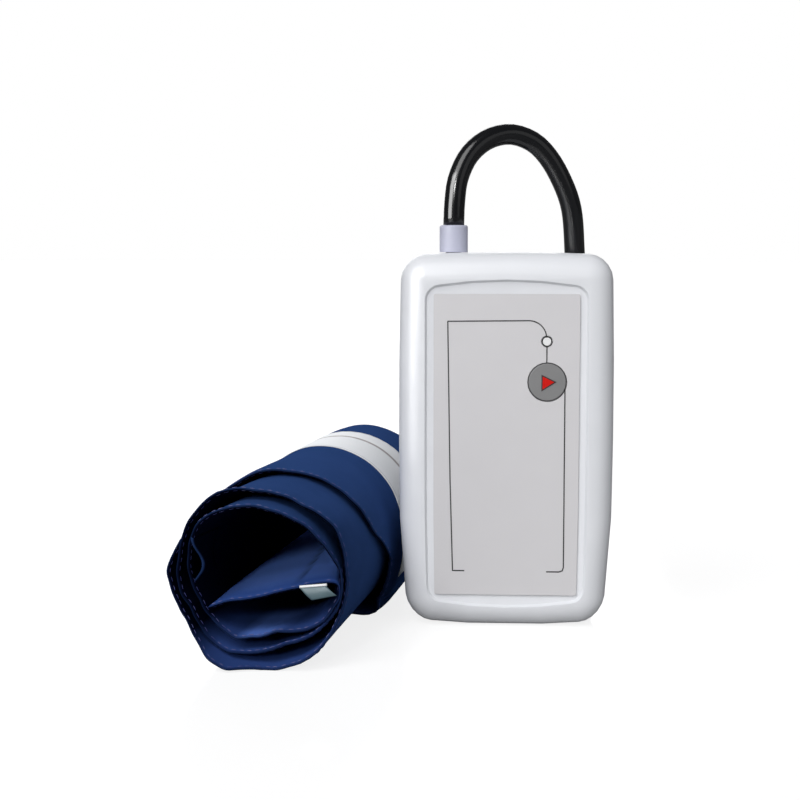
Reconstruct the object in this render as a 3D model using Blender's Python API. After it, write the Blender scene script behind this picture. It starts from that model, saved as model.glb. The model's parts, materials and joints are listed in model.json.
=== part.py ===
"""Ambulatory blood pressure monitor: a hand-sized case that holds a pump, a valve and a pressure
sensor, a rubber air hose on a push-in plug, and a rolled arm cuff with its air bladder.

Metres, +Z up. X runs to the right of the front face, Y away from it. The origin is the middle of
the small flat that the case stands on, half way through its depth.
"""

import math

import bmesh
import bpy
from mathutils import Vector

# Shared fits and tessellation
FIT_GAP = 0.0003
OVERRUN = 0.0010
ROUND_SEGMENTS = 24
SMALL_SEGMENTS = 14
SMOOTH_ANGLE = math.radians(35)

# Cells and their bay
CELL_DIAMETER = 0.0145
CELL_BODY_LENGTH = 0.0492
CELL_NUB_HEIGHT = 0.0013
CELL_NUB_DIAMETER = 0.0055
CELL_EDGE = 0.0006
CELL_SPACING = 0.0015
CELL_SIDE_PLAY = 0.0008
CELL_FLOOR_PLAY = 0.00055
CELL_DOOR_PLAY = 0.00075
BAY_WALL = 0.0013
CONTACT_THICKNESS = 0.0004
CONTACT_SPRING_LENGTH = 0.0040
CONTACT_SPRING_WIRE = 0.0007
CONTACT_SPRING_WIDE = 0.0042
CONTACT_SPRING_NARROW = 0.0020
CONTACT_SPRING_TURNS = 3
CONTACT_SPRING_STEPS = 10

# Circuit board and what it carries
BOARD_THICKNESS = 0.0016
BOARD_FRONT_ROOM = 0.0038
BOARD_BACK_ROOM = 0.0036
BOARD_SIDE_ROOM = 0.0055
BOARD_END_ROOM = 0.0078
BOARD_POST_RADIUS = 0.0018
BOARD_POST_INSET = 0.0045
BOARD_POST_HEIGHT_SHARES = (0.22, 0.80)
SWITCH_SIDE = 0.0062
SWITCH_HEIGHT = 0.0012
SWITCH_TIP_RADIUS = 0.0015
SWITCH_TIP_HEIGHT = 0.0003
STATUS_LED_SIZE = (0.0032, 0.0012, 0.0020)
CHIP_SIDE = 0.0120
CHIP_HEIGHT = 0.0014
CHIP_ABOVE_BASE = 0.0450
SENSOR_SIDE = 0.0090
SENSOR_HEIGHT = 0.0018
SENSOR_NOZZLE_RADIUS = 0.0008
BUZZER_RADIUS = 0.0060
BUZZER_HEIGHT = 0.0032
BUZZER_SOUND_HOLE_RADIUS = 0.0010
BUZZER_SOUND_HOLE_DEPTH = 0.0012
BUZZER_LEFT = 0.0080
BUZZER_ABOVE_BASE = 0.0400

# Pump, valve, air block and port
MOTOR_RADIUS = 0.0080
MOTOR_LENGTH = 0.0200
MOTOR_CAN_WALL = 0.0014
MOTOR_END_WALL = 0.0016
ROTOR_CORE_GAP = 0.0004
ROTOR_CORE_END_ROOM = 0.0020
SHAFT_RADIUS = 0.0010
SHAFT_TIP = 0.0003
ECCENTRIC_RADIUS = 0.0030
ECCENTRIC_OFFSET = 0.0012
ECCENTRIC_LENGTH = 0.0050
ECCENTRIC_FROM_FACE = 0.0030
PUMP_HEAD_LENGTH = 0.0140
PUMP_HEAD_MARGIN = 0.0004
PUMP_HEAD_WALL = 0.0030
PUMP_HEAD_EDGE = 0.0008
PUMP_ABOVE_BAY = 0.0223
CRADLE_WEB = 0.0008
CRADLE_CHEEK = 0.0016
CRADLE_END_ROOM = 0.0025
VALVE_RADIUS = 0.0055
VALVE_LENGTH = 0.0155
VALVE_BORE_DEPTH = 0.0090
PLUNGER_RADIUS = 0.0020
PLUNGER_TIP_RADIUS = 0.0013
PLUNGER_FLOOR_ROOM = 0.0010
PLUNGER_SEAT_DEPTH = 0.0022
PLUNGER_TIP_LENGTH = 0.0010
AIR_BLOCK_WIDTH = 0.0100
AIR_BLOCK_DEPTH = 0.0070
AIR_BLOCK_HEIGHT = 0.0260
AIR_BLOCK_EDGE = 0.0006
AIR_BLOCK_TO_PUMP = 0.0040
AIR_DUCT_RADIUS = 0.0014
AIR_OUTLET_RADIUS = 0.0007
AIR_OUTLET_LENGTH = 0.0030
PUMP_TUBE_BELOW_TOP = 0.0045
SENSOR_BELOW_TOP = 0.0100
TUBE_RADIUS = 0.0015
SENSOR_TUBE_WALL = 0.0008
PORT_RADIUS = 0.0043
PORT_LENGTH = 0.0154
PORT_FLANGE_RADIUS = 0.0060
PORT_FLANGE_HEIGHT = 0.0025
PORT_SOCKET_DEPTH = 0.0114
PORT_DUCT_RADIUS = 0.0012
PORT_SUNK = 0.0006
SIDE_ROOM_LEFT = 0.01065
SIDE_ROOM_RIGHT = 0.00765

# Case shells
CASE_WALL = 0.0022
CASE_FOOT_TAPER = 0.0034
CASE_HEAD_TAPER = 0.0009
CASE_FOOT_BOW = 0.0017
CASE_HEAD_BOW = 0.0009
CASE_CORNER_RADIUS = 0.0082
CASE_FRONT_FILLET = 0.0075
CASE_REAR_FILLET = 0.0050
CASE_FILLET_STEPS = 5
CASE_CORNER_STEPS = 5
CASE_SIDE_STEPS = 4
CASE_BOTTOM_ROOM = 0.0041
STAND_FLAT_WIDTH = 0.0280
PARTING_BEHIND_MIDDLE = 0.0020
LIP_HEIGHT = 0.0012
SCREW_INSET_X = 0.0095
SCREW_INSET_Z = 0.0135
SCREW_HEAD_RADIUS = 0.0024
SCREW_HEAD_HEIGHT = 0.0015
SCREW_HEAD_SUNK = 0.0036
SCREW_SHANK_RADIUS = 0.0011
SCREW_LENGTH = 0.0170
SCREW_SLOT_WIDTH = 0.0006
SCREW_SLOT_DEPTH = 0.0007
BOSS_WALL = 0.0007

# Front face: recess, label, button and window
RECESS_DEPTH = 0.0010
RECESS_END_BOW = 0.0024
RECESS_SIDE_TAPER = 0.0007
RECESS_DRAFT = 0.0007
RECESS_CORNER_RADIUS = 0.0035
LABEL_THICKNESS = 0.0004
LABEL_SIDE_INSET = 0.0117
LABEL_BOTTOM_INSET = 0.0111
LABEL_TOP_INSET = 0.0136
LABEL_MARGIN_SIDE = 0.0022
LABEL_MARGIN_TOP = 0.0040
LABEL_MARGIN_BOTTOM = 0.0036
LABEL_CORNER_RADIUS = 0.0006
LABEL_FOOT_TAPER = 0.0004
BUTTON_RADIUS = 0.0062
BUTTON_PROUD = 0.0003
BUTTON_EDGE = 0.0003
BUTTON_FLANGE = 0.0009
BUTTON_FLANGE_THICKNESS = 0.0006
BUTTON_STEM_RADIUS = 0.0016
BUTTON_TRAVEL = 0.0005
BUTTON_SPARE_TRAVEL = 0.0001
BUTTON_RIGHT_OF_MIDDLE = 0.0133
BUTTON_BELOW_TOP = 0.0423
WINDOW_RADIUS = 0.00165
WINDOW_FLANGE = 0.0008
WINDOW_FLANGE_THICKNESS = 0.0006
WINDOW_LEFT_OF_BUTTON = 0.0002
WINDOW_ABOVE_BUTTON = 0.0133

# Battery door
DOOR_THICKNESS = 0.0018
DOOR_LIP = 0.0030
DOOR_TAB_HALF_WIDTH = 0.0028
DOOR_TAB_THICKNESS = 0.0012
DOOR_TAB_REACH = 0.0022
DOOR_GRIP_COUNT = 5
DOOR_GRIP_WIDTH = 0.0008
DOOR_GRIP_PITCH = 0.0018
DOOR_GRIP_DEPTH = 0.0004
DOOR_GRIP_HALF_LENGTH = 0.0075
DOOR_GRIP_BELOW_EDGE = 0.0040
THUMB_NOTCH_HALF_WIDTH = 0.0070
THUMB_NOTCH_HEIGHT = 0.0030
THUMB_NOTCH_DEPTH = 0.0009

# Hose and its plug
HOSE_DIAMETER = 0.0070
COLLAR_RADIUS = 0.0047
COLLAR_HEIGHT = 0.0087
COLLAR_EDGE = 0.0006
STEM_RADIUS = 0.0026
STEM_BORE_RADIUS = 0.0008
STEM_TIP_CHAMFER = 0.0006
STEM_TOP_ROOM = 0.0012
STEM_BARB = 0.0002
STEM_SOCKET_ROOM = 0.0012
SEAL_RADIUS = 0.00035
SEAL_GROOVE_HEIGHT = 0.0014
SEAL_ABOVE_TIP = 0.0030
SEAL_SEGMENTS = 6
HOSE_STEP_SHARE = 1.1
HOSE_BEVEL_STEPS = 2
COIL_RADIUS = 0.0450
COIL_TURNS = 3.5
COIL_LAP = 0.0075
COIL_LAYER = 0.0075
COIL_CENTRE = (-0.0080, 0.1500)
COIL_STEPS_PER_TURN = 24
COIL_BEVEL_STEPS = 1
COIL_TANGENT_TURNS = 0.001
# The hose's way over the case and down behind it
HOSE_ARCH = (
    (-0.0174, 0.0002, 0.1404), (-0.0163, 0.0012, 0.1485), (-0.0128, 0.0036, 0.1562), (-0.0070, 0.0064, 0.1615),
    (0.0003, 0.0090, 0.1636), (0.0070, 0.0110, 0.1621), (0.0125, 0.0124, 0.1580), (0.0178, 0.0142, 0.1502),
    (0.0222, 0.0166, 0.1391), (0.0237, 0.0192, 0.1240), (0.0243, 0.0199, 0.1080), (0.0246, 0.0201, 0.0850),
    (0.0252, 0.0206, 0.0600), (0.0262, 0.0231, 0.0370), (0.0275, 0.0303, 0.0190), (0.0290, 0.0410, 0.0085),
    (0.0305, 0.0540, 0.0042))
HOSE_ON_FLOOR = ((0.0324, 0.0720), (0.0347, 0.0930), (0.0367, 0.1150))
HOSE_TAIL = ((-0.0531, 0.1260, 0.0093), (-0.0526, 0.1160, 0.0062))

# Rolled cuff
CUFF_WIDTH = 0.1600
CUFF_THICKNESS = 0.0025
CUFF_ROLL_RADIUS = 0.0284
CUFF_LAP = 0.0031
CUFF_STEP_INWARDS_SHARE = 0.25
CUFF_FLAT = 0.0005
CUFF_NEAR_END = (-0.0755, -0.0660)
CUFF_HEADING_DEGREES = 7.2
CUFF_TAIL_DEGREES = -42.0
CUFF_TAIL_LEAVES_DEGREES = 4.0
CUFF_TAIL_FLARE = 0.0032
CUFF_TAIL_BEND_POWER = 1.5
CUFF_INNER_DEGREES = 1060.0
CUFF_STEP_DEGREES = 10.0
# How far the roll bulges past a circle at each angle, as a share of its greatest bulge
CUFF_BULGE = 0.0026
CUFF_BULGE_DECAY_SHARE = 0.05
CUFF_BULGE_SHARES = (
    (0, 0.46), (15, 0.40), (30, 0.32), (45, 0.22), (60, 0.12), (75, 0.05), (90, 0.0), (150, -0.03),
    (180, -0.03), (210, -0.19), (238, 0.14), (255, 0.11), (270, 0.0), (290, 0.36), (312, 1.0), (330, 0.84),
    (345, 0.60), (360, 0.46))
# How far the near edge is cut back at each angle, as a share of the width
CUFF_HEM_SHARES = (
    (-60, 0.448), (-42, 0.420), (-16, 0.412), (12, 0.275), (34, 0.225), (63, 0.200), (90, 0.194), (120, 0.175),
    (150, 0.100), (180, 0.0), (1080, 0.0))
# The outer end, folded under on the floor: to the right, and above lying flat
CUFF_TUCK = ((0.0170, 0), (0.0206, 0), (0.0228, 0.0006), (0.0243, 0.0021))
# The flap across the bore: to the right, and up from the roll's middle
CUFF_FLAP = (
    (0.01895, -0.0050), (0.0185, -0.0034), (0.0170, -0.0026), (0.0140, -0.0029), (0.0063, -0.0047),
    (-0.0012, -0.0066), (-0.0081, -0.0079), (-0.0146, -0.0104))
BLADDER_THICKNESS = 0.0010
BLADDER_POCKET_GAP = 0.0003
BLADDER_START_DEGREES = 350.0
BLADDER_END_DEGREES = 820.0
BLADDER_HEM = 0.0240
BLADDER_BACK_ROOM = 0.0060
BAND_THICKNESS = 0.0005
BAND_FROM_NEAR_END = 0.0840
BAND_WIDTH = 0.0440
BAND_END_DEGREES = 220.0
BAND_TAIL_ROOM_DEGREES = 10.0
TAG_WIDTH = 0.0082
TAG_HEIGHT = 0.0036
TAG_THICKNESS = 0.0004
TAG_TOP_RIGHT = (0.0222, -0.0022)
TAG_LEAN = 0.0031
AIR_PORT_LENGTH = 0.0100
AIR_PORT_RADIUS = 0.0042
AIR_PORT_EDGE = 0.0008
AIR_PORT_TONGUE_HALF_WIDTH = 0.0024
AIR_PORT_TONGUE_LENGTH = 0.0050
AIR_PORT_DEGREES = 630.0

# Sizes of the case, from what it holds
CELL_RADIUS = CELL_DIAMETER / 2
CELL_LENGTH = CELL_BODY_LENGTH + CELL_NUB_HEIGHT
CELL_X = (CELL_DIAMETER + CELL_SPACING) / 2
BAY_HALF_WIDTH = CELL_X + CELL_RADIUS + CELL_SIDE_PLAY
BAY_LENGTH = CELL_LENGTH + CONTACT_SPRING_LENGTH + 2 * CONTACT_THICKNESS + 5 * FIT_GAP
BAY_BOTTOM = CASE_WALL + CASE_BOTTOM_ROOM + BAY_WALL
BAY_TOP = BAY_BOTTOM + BAY_LENGTH
BAY_OUTER_TOP = BAY_TOP + BAY_WALL
VALVE_BOTTOM = BAY_OUTER_TOP + FIT_GAP
VALVE_TOP = VALVE_BOTTOM + VALVE_LENGTH
AIR_BLOCK_BOTTOM = VALVE_TOP + FIT_GAP
AIR_BLOCK_TOP = AIR_BLOCK_BOTTOM + AIR_BLOCK_HEIGHT
PORT_BOTTOM = AIR_BLOCK_TOP + FIT_GAP
PORT_TOP = PORT_BOTTOM + PORT_LENGTH
CASE_TOP = PORT_TOP + PORT_SUNK
PUMP_STACK = CASE_WALL + BOARD_FRONT_ROOM + BOARD_THICKNESS + CHIP_HEIGHT + 4 * FIT_GAP
PUMP_STACK += 2 * (MOTOR_RADIUS + PUMP_HEAD_MARGIN) + CRADLE_WEB + CASE_WALL
CELL_STACK = CASE_WALL + BOARD_FRONT_ROOM + BOARD_THICKNESS + BOARD_BACK_ROOM + BAY_WALL
CELL_STACK += CELL_FLOOR_PLAY + CELL_DIAMETER + CELL_DOOR_PLAY + DOOR_THICKNESS
CASE_DEPTH = max(CELL_STACK, PUMP_STACK)
CASE_WIDTH = 2 * CASE_WALL + SIDE_ROOM_LEFT + AIR_BLOCK_WIDTH + AIR_BLOCK_TO_PUMP
CASE_WIDTH += PUMP_HEAD_LENGTH + FIT_GAP + MOTOR_LENGTH + SIDE_ROOM_RIGHT
CASE_HALF_X = CASE_WIDTH / 2
STAND_SAG = CASE_FOOT_BOW * (STAND_FLAT_WIDTH / 2 / CASE_HALF_X) ** 2
CASE_HALF_Z = (CASE_TOP + STAND_SAG - CASE_HEAD_BOW - CASE_FOOT_BOW) / 2
CASE_MIDDLE_Z = CASE_HALF_Z + CASE_FOOT_BOW - STAND_SAG
CASE_INNER_TOP = CASE_TOP - CASE_HEAD_BOW - CASE_WALL

# Planes through the depth of the case
FRONT_Y = -CASE_DEPTH / 2
REAR_Y = CASE_DEPTH / 2
INNER_FRONT_Y = FRONT_Y + CASE_WALL
INNER_REAR_Y = REAR_Y - CASE_WALL
PARTING_Y = PARTING_BEHIND_MIDDLE
RECESS_Y = FRONT_Y + RECESS_DEPTH
LABEL_BACK_Y = RECESS_Y - FIT_GAP
LABEL_FRONT_Y = LABEL_BACK_Y - LABEL_THICKNESS
BOARD_FRONT_Y = INNER_FRONT_Y + BOARD_FRONT_ROOM
BOARD_BACK_Y = BOARD_FRONT_Y + BOARD_THICKNESS
CELL_Y = REAR_Y - DOOR_THICKNESS - CELL_DOOR_PLAY - CELL_RADIUS
BAY_FLOOR_Y = CELL_Y - CELL_RADIUS - CELL_FLOOR_PLAY
DOOR_INNER_Y = REAR_Y - DOOR_THICKNESS

# Places across the case
AIR_BLOCK_LEFT = -CASE_WIDTH / 2 + CASE_WALL + SIDE_ROOM_LEFT
AIR_BLOCK_RIGHT = AIR_BLOCK_LEFT + AIR_BLOCK_WIDTH
AIR_BLOCK_X = (AIR_BLOCK_LEFT + AIR_BLOCK_RIGHT) / 2
PUMP_HEAD_LEFT = AIR_BLOCK_RIGHT + AIR_BLOCK_TO_PUMP
PUMP_HEAD_RIGHT = PUMP_HEAD_LEFT + PUMP_HEAD_LENGTH
MOTOR_LEFT = PUMP_HEAD_RIGHT + FIT_GAP
MOTOR_RIGHT = MOTOR_LEFT + MOTOR_LENGTH
PUMP_Z = BAY_OUTER_TOP + PUMP_ABOVE_BAY
PUMP_Y = INNER_REAR_Y - FIT_GAP - CRADLE_WEB - FIT_GAP - MOTOR_RADIUS
PUMP_HEAD_HALF = MOTOR_RADIUS + PUMP_HEAD_MARGIN
BUTTON_X = BUTTON_RIGHT_OF_MIDDLE
BUTTON_Z = CASE_TOP - BUTTON_BELOW_TOP
WINDOW_X = BUTTON_X - WINDOW_LEFT_OF_BUTTON
WINDOW_Z = BUTTON_Z + WINDOW_ABOVE_BUTTON
SOCKET_RADIUS = STEM_RADIUS + FIT_GAP
PORT_HOLE_RADIUS = PORT_RADIUS + FIT_GAP
PORT_X = AIR_BLOCK_X
PORT_Y = 0.0
COLLAR_SAG = CASE_HEAD_BOW * ((abs(PORT_X) - COLLAR_RADIUS) / CASE_HALF_X) ** 2
COLLAR_BOTTOM = CASE_TOP - COLLAR_SAG + FIT_GAP
COLLAR_TOP = COLLAR_BOTTOM + COLLAR_HEIGHT

# Places round the cuff roll
CUFF_MIDDLE_RADIUS = CUFF_ROLL_RADIUS - CUFF_THICKNESS / 2
CUFF_CENTRE_Z = CUFF_ROLL_RADIUS - CUFF_FLAT
CUFF_HEADING = math.radians(CUFF_HEADING_DEGREES)
CUFF_ALONG = Vector((math.sin(CUFF_HEADING), math.cos(CUFF_HEADING), 0))
CUFF_ACROSS = Vector((math.cos(CUFF_HEADING), -math.sin(CUFF_HEADING), 0))
CUFF_UP = Vector((0, 0, 1))


def clear_scene():
    for old in list(bpy.data.objects):
        bpy.data.objects.remove(old, do_unlink=True)


def make_material(name, colour, roughness, metallic=0.0):
    """A plain finish with the piece's colour from the photograph."""
    material = bpy.data.materials.new(name)
    material.use_nodes = True
    shader = material.node_tree.nodes["Principled BSDF"]
    shader.inputs["Base Color"].default_value = (*colour, 1.0)
    shader.inputs["Roughness"].default_value = roughness
    shader.inputs["Metallic"].default_value = metallic
    material.diffuse_color = (*colour, 1.0)
    return material


def make_object(name, mesh_in_progress, material):
    """Turns a bmesh into a named object, shaded smooth up to the shared angle."""
    bmesh.ops.recalc_face_normals(mesh_in_progress, faces=mesh_in_progress.faces)
    mesh = bpy.data.meshes.new(name)
    mesh_in_progress.to_mesh(mesh)
    mesh_in_progress.free()
    mesh.shade_smooth()
    mesh.set_sharp_from_angle(angle=SMOOTH_ANGLE)
    made = bpy.data.objects.new(name, mesh)
    bpy.context.scene.collection.objects.link(made)
    if material:
        mesh.materials.append(material)
    return made


def set_origin(piece, point):
    """Moves a piece's origin onto its joint axis without moving the piece."""
    for vertex in piece.data.vertices:
        vertex.co -= Vector(point)
    piece.location = point


def add_box(target, low, high):
    corners = [target.verts.new((x, y, z)) for x in (low[0], high[0])
               for y in (low[1], high[1]) for z in (low[2], high[2])]
    for side in ((0, 1, 3, 2), (4, 6, 7, 5), (0, 4, 5, 1), (2, 3, 7, 6), (0, 2, 6, 4), (1, 5, 7, 3)):
        target.faces.new([corners[i] for i in side])


def add_loft(target, rings):
    """Joins rings of equal count into one closed body with flat end caps."""
    rows = [[target.verts.new(point) for point in ring] for ring in rings]
    count = len(rows[0])
    for first, second in zip(rows, rows[1:]):
        for i in range(count):
            j = (i + 1) % count
            target.faces.new((first[i], first[j], second[j], second[i]))
    target.faces.new(rows[0])
    target.faces.new(list(reversed(rows[-1])))


def add_turned(target, centre, axis, profile, segments=ROUND_SEGMENTS):
    """Turns a profile of (radius, distance along the axis) about an axis through the centre.

    A profile whose ends lie on the axis makes a solid, and any other is closed into a ring.
    """
    side_a, side_b, along = {
        "X": (Vector((0, 1, 0)), Vector((0, 0, 1)), Vector((1, 0, 0))),
        "Y": (Vector((1, 0, 0)), Vector((0, 0, 1)), Vector((0, 1, 0))),
        "Z": (Vector((1, 0, 0)), Vector((0, 1, 0)), Vector((0, 0, 1))),
    }[axis]
    rows = []
    for radius, distance in profile:
        middle = Vector(centre) + along * distance
        if radius == 0:
            rows.append([target.verts.new(middle)])
            continue
        row = []
        for i in range(segments):
            turn = math.tau * i / segments
            outward = side_a * math.cos(turn) + side_b * math.sin(turn)
            row.append(target.verts.new(middle + outward * radius))
        rows.append(row)
    pairs = list(zip(rows, rows[1:]))
    if len(rows[0]) > 1:
        pairs.append((rows[-1], rows[0]))
    for first, second in pairs:
        for i in range(segments):
            j = (i + 1) % segments
            if len(first) == 1:
                target.faces.new((first[0], second[j], second[i]))
            elif len(second) == 1:
                target.faces.new((first[i], first[j], second[0]))
            else:
                target.faces.new((first[i], first[j], second[j], second[i]))


def rod(low, high, radius):
    """The profile of a plain round bar between two distances along its axis."""
    return [(0, low), (radius, low), (radius, high), (0, high)]


def ring_profile(low, high, inner, outer):
    return [(inner, low), (outer, low), (outer, high), (inner, high)]


def turned(name, material, centre, axis, profile, segments=ROUND_SEGMENTS):
    shape = bmesh.new()
    add_turned(shape, centre, axis, profile, segments)
    return make_object(name, shape, material)


def boxed(name, material, low, high, edge=0.0):
    shape = bmesh.new()
    add_box(shape, low, high)
    piece = make_object(name, shape, material)
    if edge:
        soften(piece, edge)
    return piece


def soften(piece, width):
    bevel = piece.modifiers.new("Edges", "BEVEL")
    bevel.width = width
    bevel.segments = 2
    bevel.limit_method = "ANGLE"
    return bevel


def hidden_tool(name, build):
    """A cutter or an added shape, which the finished part leaves out."""
    shape = bmesh.new()
    build(shape)
    tool = make_object(name, shape, None)
    tool.hide_render = True
    tool.display_type = "WIRE"
    return tool


def combine(piece, tool, operation):
    boolean = piece.modifiers.new(tool.name, "BOOLEAN")
    boolean.operation = operation
    boolean.solver = "EXACT"
    boolean.object = tool


def cut(piece, name, build):
    combine(piece, hidden_tool(name, build), "DIFFERENCE")


def join(piece, name, build):
    combine(piece, hidden_tool(name, build), "UNION")


def bowed_outline(half_x, half_z, radius, tapers, bows):
    """A rounded rectangle as (x, z) points about its middle.

    Its sides draw in towards the foot and the head by the two tapers, and its ends swell by the two bows.
    """
    inner_x = half_x - radius
    inner_z = half_z - radius
    points = []
    for quarter, (sign_x, sign_z) in enumerate(((1, 1), (-1, 1), (-1, -1), (1, -1))):
        for step in range(CASE_CORNER_STEPS + 1):
            turn = math.pi / 2 * (quarter + step / CASE_CORNER_STEPS)
            points.append((sign_x * inner_x + radius * math.cos(turn),
                           sign_z * inner_z + radius * math.sin(turn)))
        start = points[-1]
        if quarter % 2 == 0:
            end = (-start[0], start[1])
        else:
            end = (start[0], -start[1])
        for step in range(1, CASE_SIDE_STEPS):
            share = step / CASE_SIDE_STEPS
            points.append((start[0] + (end[0] - start[0]) * share, start[1] + (end[1] - start[1]) * share))
    bowed = []
    for x, z in points:
        taper, bow = (tapers[0], bows[0]) if z < 0 else (tapers[1], bows[1])
        bowed.append((x * (1 - taper / half_x * abs(z / half_z) ** 3),
                      z * (1 + bow / half_z * (1 - (x / half_x) ** 2))))
    return bowed


def case_ring(inset, y):
    """The case's outline, drawn in by the inset, at one depth. Its foot is cut flat."""
    outline = bowed_outline(CASE_HALF_X - inset, CASE_HALF_Z - inset, CASE_CORNER_RADIUS - inset,
                            (CASE_FOOT_TAPER, CASE_HEAD_TAPER), (CASE_FOOT_BOW, CASE_HEAD_BOW))
    return [(x, y, max(CASE_MIDDLE_Z + z, inset)) for x, z in outline]


def fillet_rings(face_y, inward, fillet, wall):
    """Rings of a rounded case edge from its flat face outwards, for the skin that lies a wall inside."""
    rings = []
    for step in range(CASE_FILLET_STEPS + 1):
        turn = math.pi / 2 * step / CASE_FILLET_STEPS
        inset = fillet - (fillet - wall) * math.sin(turn)
        y = face_y + inward * (wall + (fillet - wall) * (1 - math.cos(turn)))
        rings.append(case_ring(inset, y))
    return rings


def screw_places():
    right = CASE_WIDTH / 2 - SCREW_INSET_X
    top = CASE_TOP - SCREW_INSET_Z
    return [(x, z) for z in (SCREW_INSET_Z, top) for x in (-right, right)]


def board_posts():
    right = CASE_HALF_X - CASE_WALL - BOARD_SIDE_ROOM - BOARD_POST_INSET
    return [(x, CASE_TOP * share) for share in BOARD_POST_HEIGHT_SHARES for x in (-right, right)]


def make_front_shell(material):
    """The deep front half: large soft front edge, recess, boss for each screw, board posts."""
    lip_inset = CASE_WALL / 2
    rings = fillet_rings(FRONT_Y, 1, CASE_FRONT_FILLET, 0)
    rings.append(case_ring(0, PARTING_Y))
    rings.append(case_ring(lip_inset, PARTING_Y))
    rings.append(case_ring(lip_inset, PARTING_Y + LIP_HEIGHT))
    rings.append(case_ring(CASE_WALL, PARTING_Y + LIP_HEIGHT))
    rings.extend(reversed(fillet_rings(FRONT_Y, 1, CASE_FRONT_FILLET, CASE_WALL)))
    shape = bmesh.new()
    add_loft(shape, rings)
    shell = make_object("front_shell", shape, material)

    def bosses(tool):
        start = INNER_FRONT_Y - CASE_WALL / 4
        for x, z in screw_places():
            radius = SCREW_HEAD_RADIUS + FIT_GAP + BOSS_WALL
            add_turned(tool, (x, 0, z), "Y", rod(start, PARTING_Y - OVERRUN, radius), SMALL_SEGMENTS)
        for x, z in board_posts():
            post = rod(start, BOARD_FRONT_Y - FIT_GAP, BOARD_POST_RADIUS)
            add_turned(tool, (x, 0, z), "Y", post, SMALL_SEGMENTS)

    def holes(tool):
        slope = RECESS_DRAFT / RECESS_DEPTH
        mouth = recess_ring(FRONT_Y - OVERRUN, slope * (RECESS_DEPTH + OVERRUN))
        add_loft(tool, [mouth, recess_ring(RECESS_Y, 0)])

    def pilot_holes(tool):
        tip = REAR_Y - SCREW_HEAD_SUNK - SCREW_LENGTH - OVERRUN
        for x, z in screw_places():
            radius = SCREW_SHANK_RADIUS + FIT_GAP
            add_turned(tool, (x, 0, z), "Y", rod(tip, PARTING_Y, radius), SMALL_SEGMENTS)

    def face_holes(tool):
        low = FRONT_Y - OVERRUN
        high = INNER_FRONT_Y + OVERRUN
        add_turned(tool, (BUTTON_X, 0, BUTTON_Z), "Y", rod(low, high, BUTTON_RADIUS + FIT_GAP))
        add_turned(tool, (WINDOW_X, 0, WINDOW_Z), "Y", rod(low, high, WINDOW_RADIUS + FIT_GAP), SMALL_SEGMENTS)

    join(shell, "front_bosses", bosses)
    cut(shell, "front_recess", holes)
    cut(shell, "front_pilot_holes", pilot_holes)
    cut(shell, "front_face_holes", face_holes)
    cut(shell, "front_port_hole", port_hole)
    return shell


def recess_ring(y, wider):
    """The shallow panel that the label lies in, with its bowed top and bottom, at one depth."""
    half_x = CASE_WIDTH / 2 - LABEL_SIDE_INSET + LABEL_MARGIN_SIDE
    top = CASE_TOP - LABEL_TOP_INSET + LABEL_MARGIN_TOP
    bottom = LABEL_BOTTOM_INSET - LABEL_MARGIN_BOTTOM
    half_z = (top - bottom) / 2 - RECESS_END_BOW
    outline = bowed_outline(half_x + wider, half_z + wider, RECESS_CORNER_RADIUS + wider,
                            (RECESS_SIDE_TAPER, 0), (RECESS_END_BOW, RECESS_END_BOW))
    return [(x, y, (top + bottom) / 2 + z) for x, z in outline]


def port_hole(tool):
    high = CASE_TOP + OVERRUN
    low = CASE_INNER_TOP - OVERRUN
    add_turned(tool, (PORT_X, PORT_Y, 0), "Z", rod(low, high, PORT_HOLE_RADIUS))


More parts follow.
